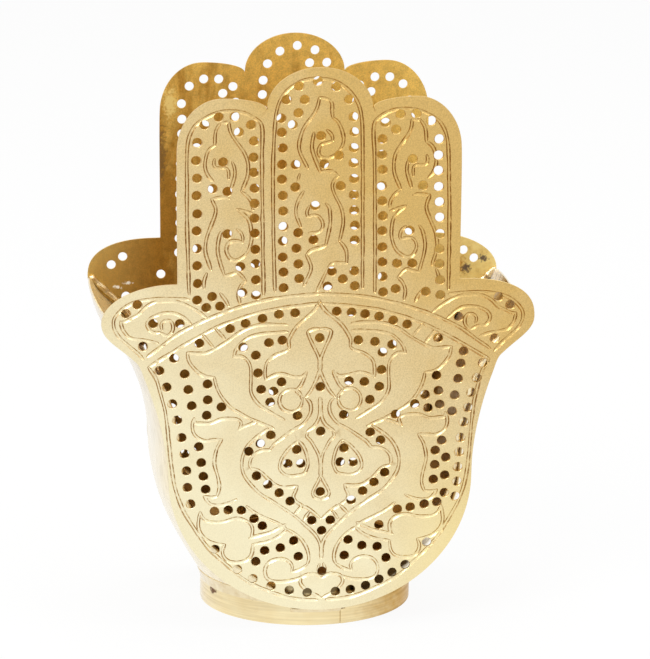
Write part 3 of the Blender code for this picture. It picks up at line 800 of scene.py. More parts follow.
# %% [markdown]
# ## Fitting the walls
# The skin is fitted while its points are few, by moving them. Its two ends go on to the hands, where solder
# holds them, and its lowest edge is pressed on to the ring. A ring that is rolled by hand is a little out
# of round, so the foot of the walls is pulled wider with it. Nor do the upper corners sit evenly: behind,
# the wall comes out to the very edge of the thumb. A sheet that is bent by hand also swells below its lip,
# and behind at its waist.


# %% Draw the walls out to the hands, and on to the ring
HAIR = 0.05 * MM
WALL_SHEET = 0.6 * MM
WALL_TOUCH = abs(HAND_BACK) * MM
RING_RADIUS = (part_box("base_ring")[1].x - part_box("base_ring")[0].x) / 2


def draw_out_ends(wall):
    """Moves the two ends of a wall on to the backs of the hands."""
    reach = max(abs(v.co.y) for v in wall.data.vertices)
    for v in wall.data.vertices:
        if abs(v.co.y) > reach - HAIR:
            v.co.y = math.copysign(WALL_TOUCH + HAIR, v.co.y)


def lay_on_ring(wall):
    """Presses the lowest edge of a wall on to the ring."""
    foot = min(v.co.z for v in wall.data.vertices)
    for v in wall.data.vertices:
        if v.co.z < foot + HAIR:
            v.co.xy *= (RING_RADIUS + WALL_SHEET) / v.co.xy.length


for wall, _ in walls:
    draw_out_ends(wall)
    lay_on_ring(wall)
print("walls reach", round(WALL_TOUCH / MM, 2), "mm to the front and to the back")

# %% Bend the walls at the lip, the waist and the foot
RING_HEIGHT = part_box("base_ring")[1].z
OUT_OF_ROUND = 0.025
OVAL_FADE = 20 * MM
LIP_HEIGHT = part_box("left_side_wall")[1].z
LIP_FADE = 22 * MM
LIP_OUT_BEHIND = 1.6 * MM
LIP_IN_FRONT = 1.2 * MM
LIP_SWELL = 1.4 * MM
WAIST_HEIGHT = 39 * MM
WAIST_REACH = 16 * MM
WAIST_OUT = 1.3 * MM


def bend_by_hand(piece, side):
    """Moves a wall's rear upper corner out and its front one in, and swells it below the lip and behind."""
    for v in piece.data.vertices:
        backwards = v.co.y / WALL_TOUCH
        below = min(1, max(0, (LIP_HEIGHT - v.co.z) / LIP_FADE))
        across = np.interp(backwards, [-1, 0, 1], [-LIP_IN_FRONT, 0, LIP_OUT_BEHIND])
        swell = LIP_SWELL * math.sin(math.pi * math.sqrt(below))
        at_waist = max(0, 1 - abs(v.co.z - WAIST_HEIGHT) / WAIST_REACH)
        v.co.x += side * ((1 - below) * across + swell + WAIST_OUT * at_waist * max(0, backwards))


def make_oval(piece):
    """Pulls the foot wider across, less and less above the ring."""
    for v in piece.data.vertices:
        fade = min(1, max(0, 1 - (v.co.z - RING_HEIGHT) / OVAL_FADE))
        v.co.x *= 1 + OUT_OF_ROUND * fade


for wall, side in walls:
    bend_by_hand(wall, side)
    make_oval(wall)
    widest = max(side * v.co.x for v in wall.data.vertices)
    print(wall.name, "reaches", round(widest / MM, 1), "mm from the middle")

# %% Smooth the walls, and give them their thickness
SHEET_EDGE = 0.15 * MM
BEVEL_FROM = math.radians(60)
SMOOTH_BELOW = math.radians(35)
LOOKS_IN = -0.05


def apply_modifier(piece, kind, **settings):
    modifier = piece.modifiers.new(kind.lower(), kind)
    for name, value in settings.items():
        setattr(modifier, name, value)
    pick(piece)
    bpy.ops.object.modifier_apply(modifier=modifier.name)


def make_sheet(skin, thickness, edge_steps):
    """Gives a skin the thickness of its sheet, and eases the sheet's edges."""
    apply_modifier(skin, "SOLIDIFY", thickness=thickness, offset=-1)
    apply_modifier(
        skin, "BEVEL", width=SHEET_EDGE, segments=edge_steps, limit_method="ANGLE", angle_limit=BEVEL_FROM
    )
    bpy.ops.object.shade_smooth_by_angle(angle=SMOOTH_BELOW)


for wall, side in walls:
    apply_modifier(wall, "SUBSURF", levels=2, render_levels=2)
    make_sheet(wall, WALL_SHEET, 2)
    mark_inner(wall, [side * v.normal.x < LOOKS_IN for v in wall.data.vertices])
    print(wall.name, len(wall.data.polygons), "faces")

# %% [markdown]
# ## Foot ring and floor
# The foot is a strip of brass rolled into a ring. A strip on edge is spun round the middle to make it, and
# its ends stay apart by the width of the seam, where one end stands a little proud of the other. The floor
# is a thin disc inside it, pressed slightly hollow so that a candle's cup stands on its rim.

# %% Roll the ring
SEAM_TURN = math.radians(-77)
SEAM_WIDTH = 0.06 * MM
STRIP_CUTS = 5
RING_STEPS = 144
RING_MERGE = 0.01 * MM

bpy.ops.object.select_all(action="DESELECT")
bpy.ops.mesh.primitive_plane_add(size=RING_HEIGHT)
ring = bpy.context.object
ring.name = "rolled_foot_ring"
bpy.ops.object.mode_set(mode="EDIT")
bpy.ops.mesh.subdivide(number_cuts=STRIP_CUTS)
stop_editing()
strip_turn = SEAM_TURN + SEAM_WIDTH / RING_RADIUS / 2
for v in ring.data.vertices:
    v.select = v.co.x > RING_HEIGHT / 2 - RING_MERGE
    up = v.co.y + RING_HEIGHT / 2
    v.co = (RING_RADIUS * math.cos(strip_turn), RING_RADIUS * math.sin(strip_turn), up)
bpy.ops.object.mode_set(mode="EDIT")
bpy.ops.mesh.select_all(action="INVERT")
bpy.ops.mesh.delete(type="VERT")
bpy.ops.mesh.select_all(action="SELECT")
round_once = 2 * math.pi - SEAM_WIDTH / RING_RADIUS
bpy.ops.mesh.spin(steps=RING_STEPS, angle=round_once, center=(0, 0, 0), axis=(0, 0, -1))
bpy.ops.mesh.select_all(action="SELECT")
bpy.ops.mesh.remove_doubles(threshold=RING_MERGE)
bpy.ops.mesh.normals_make_consistent(inside=False)
stop_editing()
print("ring strip:", len(ring.data.vertices), "points, radius", round(RING_RADIUS / MM, 2), "mm")

# %% Lift one end of the strip, and give the ring its thickness
RING_SHEET = 0.8 * MM
SEAM_STEP = 0.15 * MM
LIFTED_ARC = math.radians(7)

for v in ring.data.vertices:
    past_seam = (math.atan2(v.co.y, v.co.x) - SEAM_TURN) % (2 * math.pi)
    lifted = max(0, 1 - past_seam / LIFTED_ARC)
    v.co.xy *= 1 + SEAM_STEP / RING_RADIUS * lifted**2
make_oval(ring)
make_sheet(ring, RING_SHEET, 3)
mark_inner(ring, [v.normal.xy.dot(v.co.xy) < 0 for v in ring.data.vertices])
print("ring:", len(ring.data.polygons), "faces")

# %% Press the floor
floor_low, floor_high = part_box("base_floor")
FLOOR_RADIUS = (floor_high.x - floor_low.x) / 2
FLOOR_SHEET = floor_high.z - floor_low.z
FLOOR_SIDES = 96
RIM_WIDTH = 5.0 * MM
HOLLOW_SLOPE = 1.5 * MM
HOLLOW = 0.35 * MM
INNER_RINGS = (8 * MM, 8 * MM)
FLOOR_SMOOTH = math.radians(40)

bpy.ops.object.select_all(action="DESELECT")
bpy.ops.mesh.primitive_circle_add(
    vertices=FLOOR_SIDES, radius=FLOOR_RADIUS, fill_type="NGON", location=(0, 0, floor_high.z)
)
candle_floor = bpy.context.object
candle_floor.name = "candle_floor"
bpy.ops.object.transform_apply(location=True)
start_editing(candle_floor)
bpy.ops.mesh.inset(thickness=RIM_WIDTH)
bpy.ops.mesh.inset(thickness=HOLLOW_SLOPE, depth=-HOLLOW)
for width in INNER_RINGS:
    bpy.ops.mesh.inset(thickness=width)
bpy.ops.mesh.poke()
stop_editing()
apply_modifier(candle_floor, "SOLIDIFY", thickness=FLOOR_SHEET - HOLLOW, offset=-1)
bpy.ops.object.shade_smooth_by_angle(angle=FLOOR_SMOOTH)
mark_inner(candle_floor, [v.normal.z > 0 for v in candle_floor.data.vertices])
print("floor:", len(candle_floor.data.polygons), "faces")

# %% [markdown]
# ## Solder
# The sheets are held by solder that was run along each corner by hand. It is never an even bead: it swells
# where the rod was held and pulls thin where it ran on. In the upright corners the bead of the frame is
# pushed into the corner, bent with the wall, and then moved in and out by a cloud texture. The beads of the
# floor and of the ring's seam only get the cloud.


# %% Run the seams
BEAD_LEVELS = 3
SEAM_PUSH = 0.6 * MM
SEAM_OUT = 1.7 * MM
SEAM_SWELL = 1.1 * MM
SEAM_LUMP = 1.3 * MM
LUMP_LEVEL = 0.3
LUMP_SMOOTH = math.radians(70)


def make_lumpy(bead, swell, lump):
    clouds = bpy.data.textures.new(bead.name, "CLOUDS")
    clouds.noise_scale = lump
    clouds.noise_depth = 2
    apply_modifier(
        bead, "DISPLACE", texture=clouds, texture_coords="LOCAL", strength=swell, mid_level=LUMP_LEVEL
    )
    bpy.ops.object.shade_smooth_by_angle(angle=LUMP_SMOOTH)


def run_into_corner(bead):
    """Pushes an upright bead on to the hand and the wall, and draws it up to the lip."""
    low = min(v.co.z for v in bead.data.vertices)
    high = max(v.co.z for v in bead.data.vertices)
    for v in bead.data.vertices:
        v.co.y += math.copysign(SEAM_PUSH, v.co.y)
        v.co.z = low + (v.co.z - low) * (LIP_HEIGHT - low) / (high - low)
        near_lip = max(0, 1 - (LIP_HEIGHT - v.co.z) / LIP_FADE)
        v.co.x += math.copysign(SEAM_OUT * near_lip, v.co.x)


beads = {}
for node in frame["nodes"]:
    if node.endswith("seam_solder") or node == "floor_solder":
        bead = copy_of(node, "lumpy_" + node)
        apply_modifier(bead, "SUBSURF", levels=BEAD_LEVELS, render_levels=BEAD_LEVELS)
        if node.startswith(("front", "rear")):
            run_into_corner(bead)
            bend_by_hand(bead, -1 if "left" in node else 1)
        make_lumpy(bead, SEAM_SWELL, SEAM_LUMP)
        beads[node] = bead
print(len(beads), "lumpy beads")

# %% [markdown]
# ## Filed fillets
# At the foot the solder was filed down to a fillet that leads from a sheet's lower edge on to the ring. A
# fillet has one small profile all along, so the profile is drawn as a closed line and spun round the
# ring's axis. Towards both ends it runs out, as a file leaves it.


# %% Spin the fillets under the walls
WALL_FILLET = [
    (0, -2.2), (0.06, -1.9), (0.2, -1.2), (0.45, -0.5), (0.7, 0.1), (0.85, 0.7), (0.3, 0.9), (-0.1, 0.9)
]
WALL_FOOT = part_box("left_side_wall")[0].z
WALL_ARC = math.radians(62)
FILLET_STEPS = 60
RUN_OUT = 0.1
THINNEST = 0.1
FILLET_SWELL = 0.12 * MM
FILLET_LUMP = 1.5 * MM


def thin_the_ends(fillet, middle, half_arc):
    """Draws a fillet in towards the ring at both ends of its arc."""
    for v in fillet.data.vertices:
        turn = abs((math.atan2(v.co.y, v.co.x) - middle + math.pi) % (2 * math.pi) - math.pi)
        left = min(1, max(THINNEST, (1 - turn / half_arc) / RUN_OUT))
        reach = v.co.xy.length
        v.co.xy *= (RING_RADIUS + (reach - RING_RADIUS) * left) / reach


def spin_fillet(node, profile, edge_height, middle, half_arc):
    """A fillet under a sheet's lower edge. Its profile is in mm, out from the ring and up from that edge."""
    start = middle - half_arc
    points = []
    for out, up in profile:
        reach = RING_RADIUS + out * MM
        points.append((reach * math.cos(start), reach * math.sin(start), edge_height + up * MM))
    mesh = bpy.data.meshes.new("filed_" + node)
    mesh.from_pydata(points, [(i, (i + 1) % len(points)) for i in range(len(points))], [])
    fillet = bpy.data.objects.new("filed_" + node, mesh)
    bpy.context.scene.collection.objects.link(fillet)
    start_editing(fillet)
    bpy.ops.mesh.spin(steps=FILLET_STEPS, angle=2 * half_arc, center=(0, 0, 0), axis=(0, 0, -1))
    bpy.ops.mesh.select_all(action="SELECT")
    bpy.ops.mesh.fill_holes(sides=0)
    bpy.ops.mesh.normals_make_consistent(inside=False)
    stop_editing()
    thin_the_ends(fillet, middle, half_arc)
    make_oval(fillet)
    make_lumpy(fillet, FILLET_SWELL, FILLET_LUMP)
    low, high = (end(v.co.x for v in mesh.vertices) / MM for end in (min, max))
    print(fillet.name, "from x", round(low, 1), "to", round(high, 1), "mm")
    return fillet


for node, middle in (("left_wall_foot_solder", math.pi), ("right_wall_foot_solder", 0)):
    beads[node] = spin_fillet(node, WALL_FILLET, WALL_FOOT, middle, WALL_ARC)

# %% Spin the fillets under the hands
HAND_FILLET = [(0, -1.0), (0.08, -0.8), (0.25, -0.3), (0.6, 0.06), (-0.1, 0.06)]
HAND_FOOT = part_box("front_hand")[0].z
HAND_ARC = math.radians(14)
for node, middle in (("front_foot_solder", -math.pi / 2), ("rear_foot_solder", math.pi / 2)):
    beads[node] = spin_fillet(node, HAND_FILLET, HAND_FOOT, middle, HAND_ARC)
print(len(beads), "runs of solder,", sum(len(bead.data.polygons) for bead in beads.values()), "faces")

# %% [markdown]
# ## Brass
# Real sheet brass is never one colour. Brushing leaves fine lines, handling and lacquer turn it deeper in
# clouds, the engraver's cuts hold dark tarnish on their slopes, and soldering leaves spots. Some clouds and
# spots here are painted light and shade instead. Each of these is a small node group with named sockets,
# because the hands, the walls and the ring need them with other values. A group puts out one mask and no
# colour, so that each brass decides what the mask does to it.


# %% Brushed lines
def add_node(tree, kind, inputs=None, **settings):
    """A node with its inputs set, or joined where the value is another node's output."""
    node = tree.nodes.new("ShaderNode" + kind)
    for name, value in settings.items():
        setattr(node, name, value)
    for socket, value in (inputs or {}).items():
        if isinstance(value, bpy.types.NodeSocket):
            tree.links.new(value, node.inputs[socket])
        else:
            node.inputs[socket].default_value = value
    return node


def new_group(name, inputs, output):
    """An empty node group, with its input sockets and the one socket that it puts out."""
    group = bpy.data.node_groups.new(name, "ShaderNodeTree")
    for socket, kind in inputs.items():
        group.interface.new_socket(socket, in_out="INPUT", socket_type="NodeSocket" + kind)
    group.interface.new_socket(output, in_out="OUTPUT", socket_type="NodeSocketFloat")
    way_in = group.nodes.new("NodeGroupInput")
    way_out = group.nodes.new("NodeGroupOutput")
    return group, way_in.outputs, way_out.inputs[output]


brushed_lines, inside, outside = new_group(
    "brushed_lines", {"Place": "Vector", "Stretch": "Vector"}, "Lines"
)
stretched = add_node(brushed_lines, "Mapping", {"Vector": inside["Place"], "Scale": inside["Stretch"]})
fine_noise = {"Vector": stretched.outputs[0], "Scale": 1.0, "Detail": 4.0, "Roughness": 0.6}
fine = add_node(brushed_lines, "TexNoise", fine_noise)
brushed_lines.links.new(fine.outputs["Fac"], outside)
print("group:", brushed_lines.name)


# %% Clouds, for patina and for painted light and shade
def combined(tree, operation, first, second, **settings):
    """Two values put together by a Math node."""
    return add_node(tree, "Math", {0: first, 1: second}, operation=operation, **settings).outputs[0]


cloud_mask, inside, outside = new_group(
    "cloud_mask", {"Place": "Vector", "Size": "Float", "Ground": "Float", "Amount": "Float"}, "Mask"
)
cloud_noise = {"Vector": inside["Place"], "Scale": inside["Size"], "Detail": 3.0, "Roughness": 0.55}
cloud = add_node(cloud_mask, "TexNoise", cloud_noise)
centred = combined(cloud_mask, "SUBTRACT", cloud.outputs["Fac"], 0.5)
scaled = combined(cloud_mask, "MULTIPLY", centred, inside["Amount"])
raised = combined(cloud_mask, "ADD", scaled, inside["Ground"], use_clamp=True)
cloud_mask.links.new(raised, outside)
print("group:", cloud_mask.name)

# %% Tarnish on the slopes of the grooves
SLOPE_GAIN = 7.0
groove_tarnish, inside, outside = new_group(
    "groove_tarnish", {"Depth": "Float", "Strength": "Float"}, "Mask"
)
rest = combined(groove_tarnish, "SUBTRACT", 1.0, inside["Depth"])
slope = combined(groove_tarnish, "MULTIPLY", inside["Depth"], rest)
steep = combined(groove_tarnish, "MULTIPLY", slope, SLOPE_GAIN, use_clamp=True)
strong = combined(groove_tarnish, "MULTIPLY", steep, inside["Strength"], use_clamp=True)
groove_tarnish.links.new(strong, outside)
print("group:", groove_tarnish.name)


# %% A spot with a ragged edge
def mapped(tree, value, span, result):
    """A value mapped from one span to another, and held inside it."""
    ends = {"From Min": span[0], "From Max": span[1], "To Min": result[0], "To Max": result[1]}
    return add_node(tree, "MapRange", {"Value": value, **ends}).outputs["Result"]


RAGGED_SIZE = 1300.0
RAGGED_REACH = 2.4
SPOT_EDGE = (1.6, 2.2)
ragged_spot, inside, outside = new_group(
    "ragged_spot", {"Place": "Vector", "Middle": "Vector", "Reach": "Vector"}, "Mask"
)
away = add_node(ragged_spot, "VectorMath", {0: inside["Place"], 1: inside["Middle"]}, operation="SUBTRACT")
shares = add_node(ragged_spot, "VectorMath", {0: away.outputs[0], 1: inside["Reach"]}, operation="DIVIDE")
length = add_node(ragged_spot, "VectorMath", {0: shares.outputs[0]}, operation="LENGTH")
ragged = add_node(ragged_spot, "TexNoise", {"Vector": inside["Place"], "Scale": RAGGED_SIZE, "Detail": 3.0})
uneven = combined(ragged_spot, "MULTIPLY", ragged.outputs["Fac"], RAGGED_REACH)
edge = combined(ragged_spot, "ADD", uneven, length.outputs["Value"])
ragged_spot.links.new(mapped(ragged_spot, edge, SPOT_EDGE, (1, 0)), outside)
print("group:", ragged_spot.name)

# %% [markdown]
# ## The brass of the hands
# The hands are satin sheet brass, palest low on the left and deeper towards the fingertips and the right:
# painted light and shade, for a brighter reflection low on the hand and a dimmer one on the fingers. Low on
# the right the gold is deeper still. These changes are slow, so they follow the place on the hand, with
# clouds to break them up. A noise that is much finer than a hole gives the grain. The tarnish lies on the
# slopes of the grooves in blotches, but only on slopes that don't look up, so its dark edge along each
# groove is partly painted shade, and the slopes that look up stay clean for their highlight.


# %% Ground colour of the hands
def new_brass(name):
    """A metal, with its nodes, its shader, a point's place on the object, and that place along each axis."""
    material = bpy.data.materials.new(name)
    material.use_nodes = True
    tree = material.node_tree
    shader = tree.nodes["Principled BSDF"]
    shader.inputs["Metallic"].default_value = 1.0
    place = add_node(tree, "TexCoord").outputs["Object"]
    return material, tree, shader, place, add_node(tree, "SeparateXYZ", {0: place}).outputs


def group_mask(tree, group, **inputs):
    """The mask that a node group puts out, with its inputs set or joined."""
    node = tree.nodes.new("ShaderNodeGroup")
    node.node_tree = group
    for socket, value in inputs.items():
        if isinstance(value, bpy.types.NodeSocket):
            tree.links.new(value, node.inputs[socket])
        else:
            node.inputs[socket].default_value = value
    return node.outputs[0]


def mixed_colour(tree, mask, first, second):
    mix = tree.nodes.new("ShaderNodeMix")
    mix.data_type = "RGBA"
    tree.links.new(mask, mix.inputs[0])
    for socket, value in ((mix.inputs[6], first), (mix.inputs[7], second)):
        if isinstance(value, bpy.types.NodeSocket):
            tree.links.new(value, socket)
        else:
            socket.default_value = (*value, 1)
    return mix.outputs[2]


PALE_BRASS = (1.0, 0.91, 0.62)
DEEP_BRASS = (0.77, 0.52, 0.18)
engraved_brass, tree, shader, place, axes = new_brass("engraved_brass")
# Pale low and to the left, deep high and to the right: painted light and shade.
upwards = mapped(tree, axes["Z"], (20 * MM, 125 * MM), (0, 0.95))
sideways = mapped(tree, axes["X"], (-50 * MM, 50 * MM), (-0.36, 0.4))
ground = combined(tree, "ADD", upwards, sideways)
clouds = group_mask(tree, cloud_mask, Place=place, Size=75, Ground=ground, Amount=0.5)
metal = mixed_colour(tree, clouds, PALE_BRASS, DEEP_BRASS)
print("material:", engraved_brass.name, "from", PALE_BRASS, "to", DEEP_BRASS)


# %% Grain, deeper gold low on the right, and tarnish of the hands
def tinted(tree, colour, mask, least):
    """A colour made darker by a mask, down to a least share of itself."""
    share = mapped(tree, mask, (0, 1), (1, least))
    grey = add_node(tree, "CombineXYZ", {axis: share for axis in "XYZ"})
    mix = tree.nodes.new("ShaderNodeMix")
    mix.data_type = "RGBA"
    mix.blend_type = "MULTIPLY"
    mix.inputs[0].default_value = 1.0
    tree.links.new(colour, mix.inputs[6])
    tree.links.new(grey.outputs[0], mix.inputs[7])
    return mix.outputs[2]


def attribute(tree, name):
    return add_node(tree, "Attribute", attribute_name=name).outputs["Fac"]


LOW_RIGHT_GOLD = (1.0, 0.80, 0.30)
TARNISH_AND_SHADE_BROWN = (0.40, 0.21, 0.05)
grain = group_mask(tree, cloud_mask, Place=place, Size=3000, Ground=0.4, Amount=3)
speckle = combined(tree, "MULTIPLY", grain, mapped(tree, clouds, (0, 0.6), (0.35, 1)))
metal = tinted(tree, metal, speckle, 0.78)
# Deeper gold low on the right of the hand.
on_the_right = mapped(tree, axes["X"], (16 * MM, 36 * MM), (0, 1))
low_right = combined(tree, "MULTIPLY", on_the_right, mapped(tree, axes["Z"], (18 * MM, 55 * MM), (0.55, 0)))
metal = mixed_colour(tree, low_right, metal, LOW_RIGHT_GOLD)
facing = add_node(tree, "SeparateXYZ", {0: add_node(tree, "NewGeometry").outputs["Normal"]}).outputs
# Tarnish only on slopes that don't face up: real tarnish in the cuts, and painted shade on the slopes turned
# away from the light.
not_facing_up = mapped(tree, facing["Z"], (0.12, 0.42), (1, 0))
blotches = group_mask(tree, cloud_mask, Place=place, Size=1000, Ground=0.65, Amount=3.5)
tarnish_and_shade = combined(tree, "MULTIPLY", blotches, not_facing_up)
tarnish = group_mask(tree, groove_tarnish, Depth=attribute(tree, "engraved"), Strength=tarnish_and_shade)
metal = mixed_colour(tree, tarnish, metal, TARNISH_AND_SHADE_BROWN)
print("grain, lacquer", LOW_RIGHT_GOLD, "and tarnish", TARNISH_AND_SHADE_BROWN)

# %% [markdown]
# ## The inner face of the hands
# Nobody polishes a holder inside. Its colour there is painted light and shade: dark low down, browner above,
# and gold towards the top and the right, with a paler gold on the right thumb and at the left end.
# The attribute "inner" tells the two faces of the sheet apart, so one material serves both, and the rear
# hand shows its inner face to the camera. Marks with a place of their own, such as burnt flux and splashes
# of solder, are ragged spots, and so are a painted shadow along the left edge of the rear hand's finger on
# the left and a painted highlight higher on that finger.

# %% Painted light and shade inside
SHADED_BRASS = (0.34, 0.20, 0.06)
HALF_LIT_BRASS = (0.66, 0.365, 0.065)
LIT_BRASS = (1.0, 0.69, 0.18)
# Dark low down, brown above and gold towards the top and the right: painted shade and painted light.
higher_up = mapped(tree, axes["Z"], (20 * MM, 80 * MM), (0, 1))
inner_metal = mixed_colour(tree, higher_up, SHADED_BRASS, HALF_LIT_BRASS)
towards_top = mapped(tree, axes["Z"], (100 * MM, 145 * MM), (0, 0.9))
to_the_right = mapped(tree, axes["X"], (-45 * MM, 45 * MM), (-0.25, 1))
smears = group_mask(tree, brushed_lines, Place=place, Stretch=(280, 280, 75))
smeared = mapped(tree, smears, (0.35, 0.65), (-0.6, 0.5))
clear = combined(tree, "ADD", combined(tree, "ADD", towards_top, to_the_right), smeared)
lit_clouds = group_mask(tree, cloud_mask, Place=place, Size=160, Ground=clear, Amount=0.8)
inner_metal = mixed_colour(tree, lit_clouds, inner_metal, LIT_BRASS)
inner_metal = tinted(tree, inner_metal, grain, 0.75)
rubbed = group_mask(tree, cloud_mask, Place=place, Size=420, Ground=0.25, Amount=2.5)
inner_metal = tinted(tree, inner_metal, rubbed, 0.75)
print("inner face:", SHADED_BRASS, "to", LIT_BRASS)

# %% Painted light, burnt flux and splashes of solder inside
LIT_GOLD = (1.0, 0.80, 0.30)
BURNT_FLUX = (0.17, 0.12, 0.07)
BRIGHT_SOLDER = (1.0, 0.98, 0.90)
# The first spot is a painted shadow and the second a painted highlight; the rest are stains and burnt flux.
STAINS_LIGHT_AND_SHADE = [
    ((-36.3, 27.7, 115.0), (1.8, 3, 11.0), SHADED_BRASS),
    ((-33.6, 27.7, 129.5), (2.0, 3, 4.5), LIT_GOLD),
    ((44.6, 27.7, 83.6), (3.2, 3, 3.4), HALF_LIT_BRASS),
    ((47.4, 27.7, 82.7), (1.5, 3, 1.4), BURNT_FLUX),
    ((52.1, 27.7, 85.4), (1.8, 3, 1.0), BURNT_FLUX),
]
SPLASHES = [((-48.0, 27.7, 79.4), (1.3, 3, 0.6)), ((-45.2, 27.7, 80.5), (1.5, 3, 0.5))]


def spot_mask(tree, place, middle, reach):
    """The mask of one ragged spot, with its middle and its reach in mm."""
    return group_mask(tree, ragged_spot, Place=place, Middle=Vector(middle) * MM, Reach=Vector(reach) * MM)


# The right thumb and the left end are a paler gold: painted light. The right thumb is also less metallic.
lit_right = mapped(tree, axes["X"], (34 * MM, 46 * MM), (0, 0.75))
patchy = combined(tree, "MULTIPLY", lit_right, mapped(tree, rubbed, (0, 0.8), (1.25, 0.2)))
inner_metal = mixed_colour(tree, patchy, inner_metal, LIT_GOLD)
left_end = mapped(tree, axes["X"], (-50 * MM, -37 * MM), (0.4, 0))
inner_metal = mixed_colour(tree, left_end, inner_metal, LIT_GOLD)
for middle, reach, spot_colour in STAINS_LIGHT_AND_SHADE:
    inner_metal = mixed_colour(tree, spot_mask(tree, place, middle, reach), inner_metal, spot_colour)
not_metallic = lit_right
for middle, reach in SPLASHES:
    splash = spot_mask(tree, place, middle, reach)
    inner_metal = mixed_colour(tree, splash, inner_metal, BRIGHT_SOLDER)
    not_metallic = combined(tree, "ADD", not_metallic, splash)
inner = attribute(tree, "inner")
tree.links.new(mixed_colour(tree, inner, metal, inner_metal), shader.inputs["Base Color"])
print("inner face:", len(STAINS_LIGHT_AND_SHADE), "stains and", len(SPLASHES), "splashes")


# %% Gloss of the hands
def bumped(tree, shader, height, strength, distance):
    bump = add_node(tree, "Bump", {"Height": height, "Strength": strength, "Distance": distance})
    tree.links.new(bump.outputs["Normal"], shader.inputs["Normal"])


def rest_of(tree, mask):
    """What a mask leaves over, and never less than nothing."""
    return combined(tree, "SUBTRACT", 1.0, mask, use_clamp=True)


INNER_DULLNESS = 0.12
lines_up = group_mask(tree, brushed_lines, Place=place, Stretch=(2600, 2600, 60))
satin = mapped(tree, lines_up, (0.3, 0.7), (0.3, 0.4))
dull = combined(tree, "MULTIPLY", inner, INNER_DULLNESS)
tree.links.new(combined(tree, "ADD", dull, satin), shader.inputs["Roughness"])
covered = combined(tree, "MULTIPLY", inner, not_metallic)
tree.links.new(rest_of(tree, covered), shader.inputs["Metallic"])
bumped(tree, shader, grain, strength=0.35, distance=0.03 * MM)
print("hands: satin, and duller inside by", INNER_DULLNESS)

# %% [markdown]
# ## The brass of the walls
# The walls were scratched all over in short upright strokes and then lacquered, like the ring. Lacquer is a
# clear coat on the metal. Seen from the side it hardly shows, but at a flat angle it mirrors the white
# studio, and so the wall is golden from its own side and almost white from the front. The shader's coat
# does this by itself in every view, where a painted sheen would slide. The pale ground outside is partly
# painted light. Inside, a wall is dark with painted shade, and its lip is lighter with painted light. In
# the corner behind the front hand, low on the right, the wall is darkened with painted shade.

# %% Scratched brass outside
WALL_PALE = (1.0, 0.86, 0.53)
WALL_BRASS = (0.95, 0.78, 0.42)
WALL_BUFF = (0.80, 0.66, 0.39)
sheet_brass, tree, shader, place, axes = new_brass("sheet_brass")
hatching = group_mask(tree, brushed_lines, Place=place, Stretch=(620, 620, 210))
scratches = mapped(tree, hatching, (0.54, 0.64), (0, 1))
clouds = group_mask(tree, cloud_mask, Place=place, Size=70, Ground=0.25, Amount=0.7)
# The pale ground is partly painted light, for the white studio that the wall mirrors; higher up the wall
# turns buff.
metal = mixed_colour(tree, clouds, WALL_PALE, WALL_BRASS)
metal = mixed_colour(tree, mapped(tree, axes["Z"], (35 * MM, 75 * MM), (0, 1)), metal, WALL_BUFF)
metal = tinted(tree, metal, scratches, 0.86)
print("material:", sheet_brass.name, "from", WALL_PALE, "to", WALL_BUFF)

# %% Painted shade inside, and painted light on the lip
WALL_GOLD = (0.86, 0.67, 0.34)
LIT_LIP_GOLD = (1.0, 0.80, 0.40)
LIT_LIP_WHITE = (1.0, 0.97, 0.90)
# The lip on the left and at the rear right corner is lighter: painted light, white at the corner and gold on
# the left.
on_the_left = mapped(tree, axes["X"], (-10 * MM, 10 * MM), (1, 0))
rear_corner = mapped(tree, axes["Y"], (12 * MM, 20 * MM), (0, 1))
lit_corners = combined(tree, "MAXIMUM", on_the_left, rear_corner)
lip = combined(tree, "MULTIPLY", lit_corners, mapped(tree, axes["Z"], (66 * MM, 80 * MM), (0, 1)))
# The inner face is dark with painted shade, broken by clouds.
inner_metal = mixed_colour(tree, clouds, SHADED_BRASS, WALL_GOLD)
inner_metal = mixed_colour(tree, lip, inner_metal, mixed_colour(tree, on_the_left, LIT_LIP_WHITE, LIT_LIP_GOLD))
inner_metal = tinted(tree, inner_metal, scratches, 0.7)
inner = attribute(tree, "inner")
metal = mixed_colour(tree, inner, metal, inner_metal)
print("lip:", LIT_LIP_GOLD, "on the left and", LIT_LIP_WHITE, "on the right")

# %% Painted shade in the corner
PAINTED_SHADE_BROWN = (0.08, 0.045, 0.013)
# Behind the low right edge of the front hand the wall is darkened in patches: painted shade.
by_the_hand = mapped(tree, axes["Y"], (-25.5 * MM, -19.5 * MM), (1.5, 0))
by_the_foot = combined(tree, "MULTIPLY", by_the_hand, mapped(tree, axes["Z"], (15 * MM, 24 * MM), (1, 0)))
corner = combined(tree, "MULTIPLY", by_the_foot, mapped(tree, axes["X"], (0, 10 * MM), (0, 1)))
shade_patches = group_mask(tree, cloud_mask, Place=place, Size=300, Ground=corner, Amount=0.9)
painted_shade = combined(tree, "MULTIPLY", shade_patches, mapped(tree, corner, (0, 0.2), (0, 1)))
tree.links.new(mixed_colour(tree, painted_shade, metal, PAINTED_SHADE_BROWN), shader.inputs["Base Color"])
print("painted_shade_colour:", PAINTED_SHADE_BROWN)

# %% Gloss and lacquer of the walls
LACQUER_BEND = 1.8
LACQUER_ROUGHNESS = 0.2
DULL_SHINE = 0.05
LIP_DULLNESS = 0.7


def lacquered(shader):
    """A coat of clear lacquer all over."""
    shader.inputs["Coat Weight"].default_value = 1.0
    shader.inputs["Coat IOR"].default_value = LACQUER_BEND
    shader.inputs["Coat Roughness"].default_value = LACQUER_ROUGHNESS


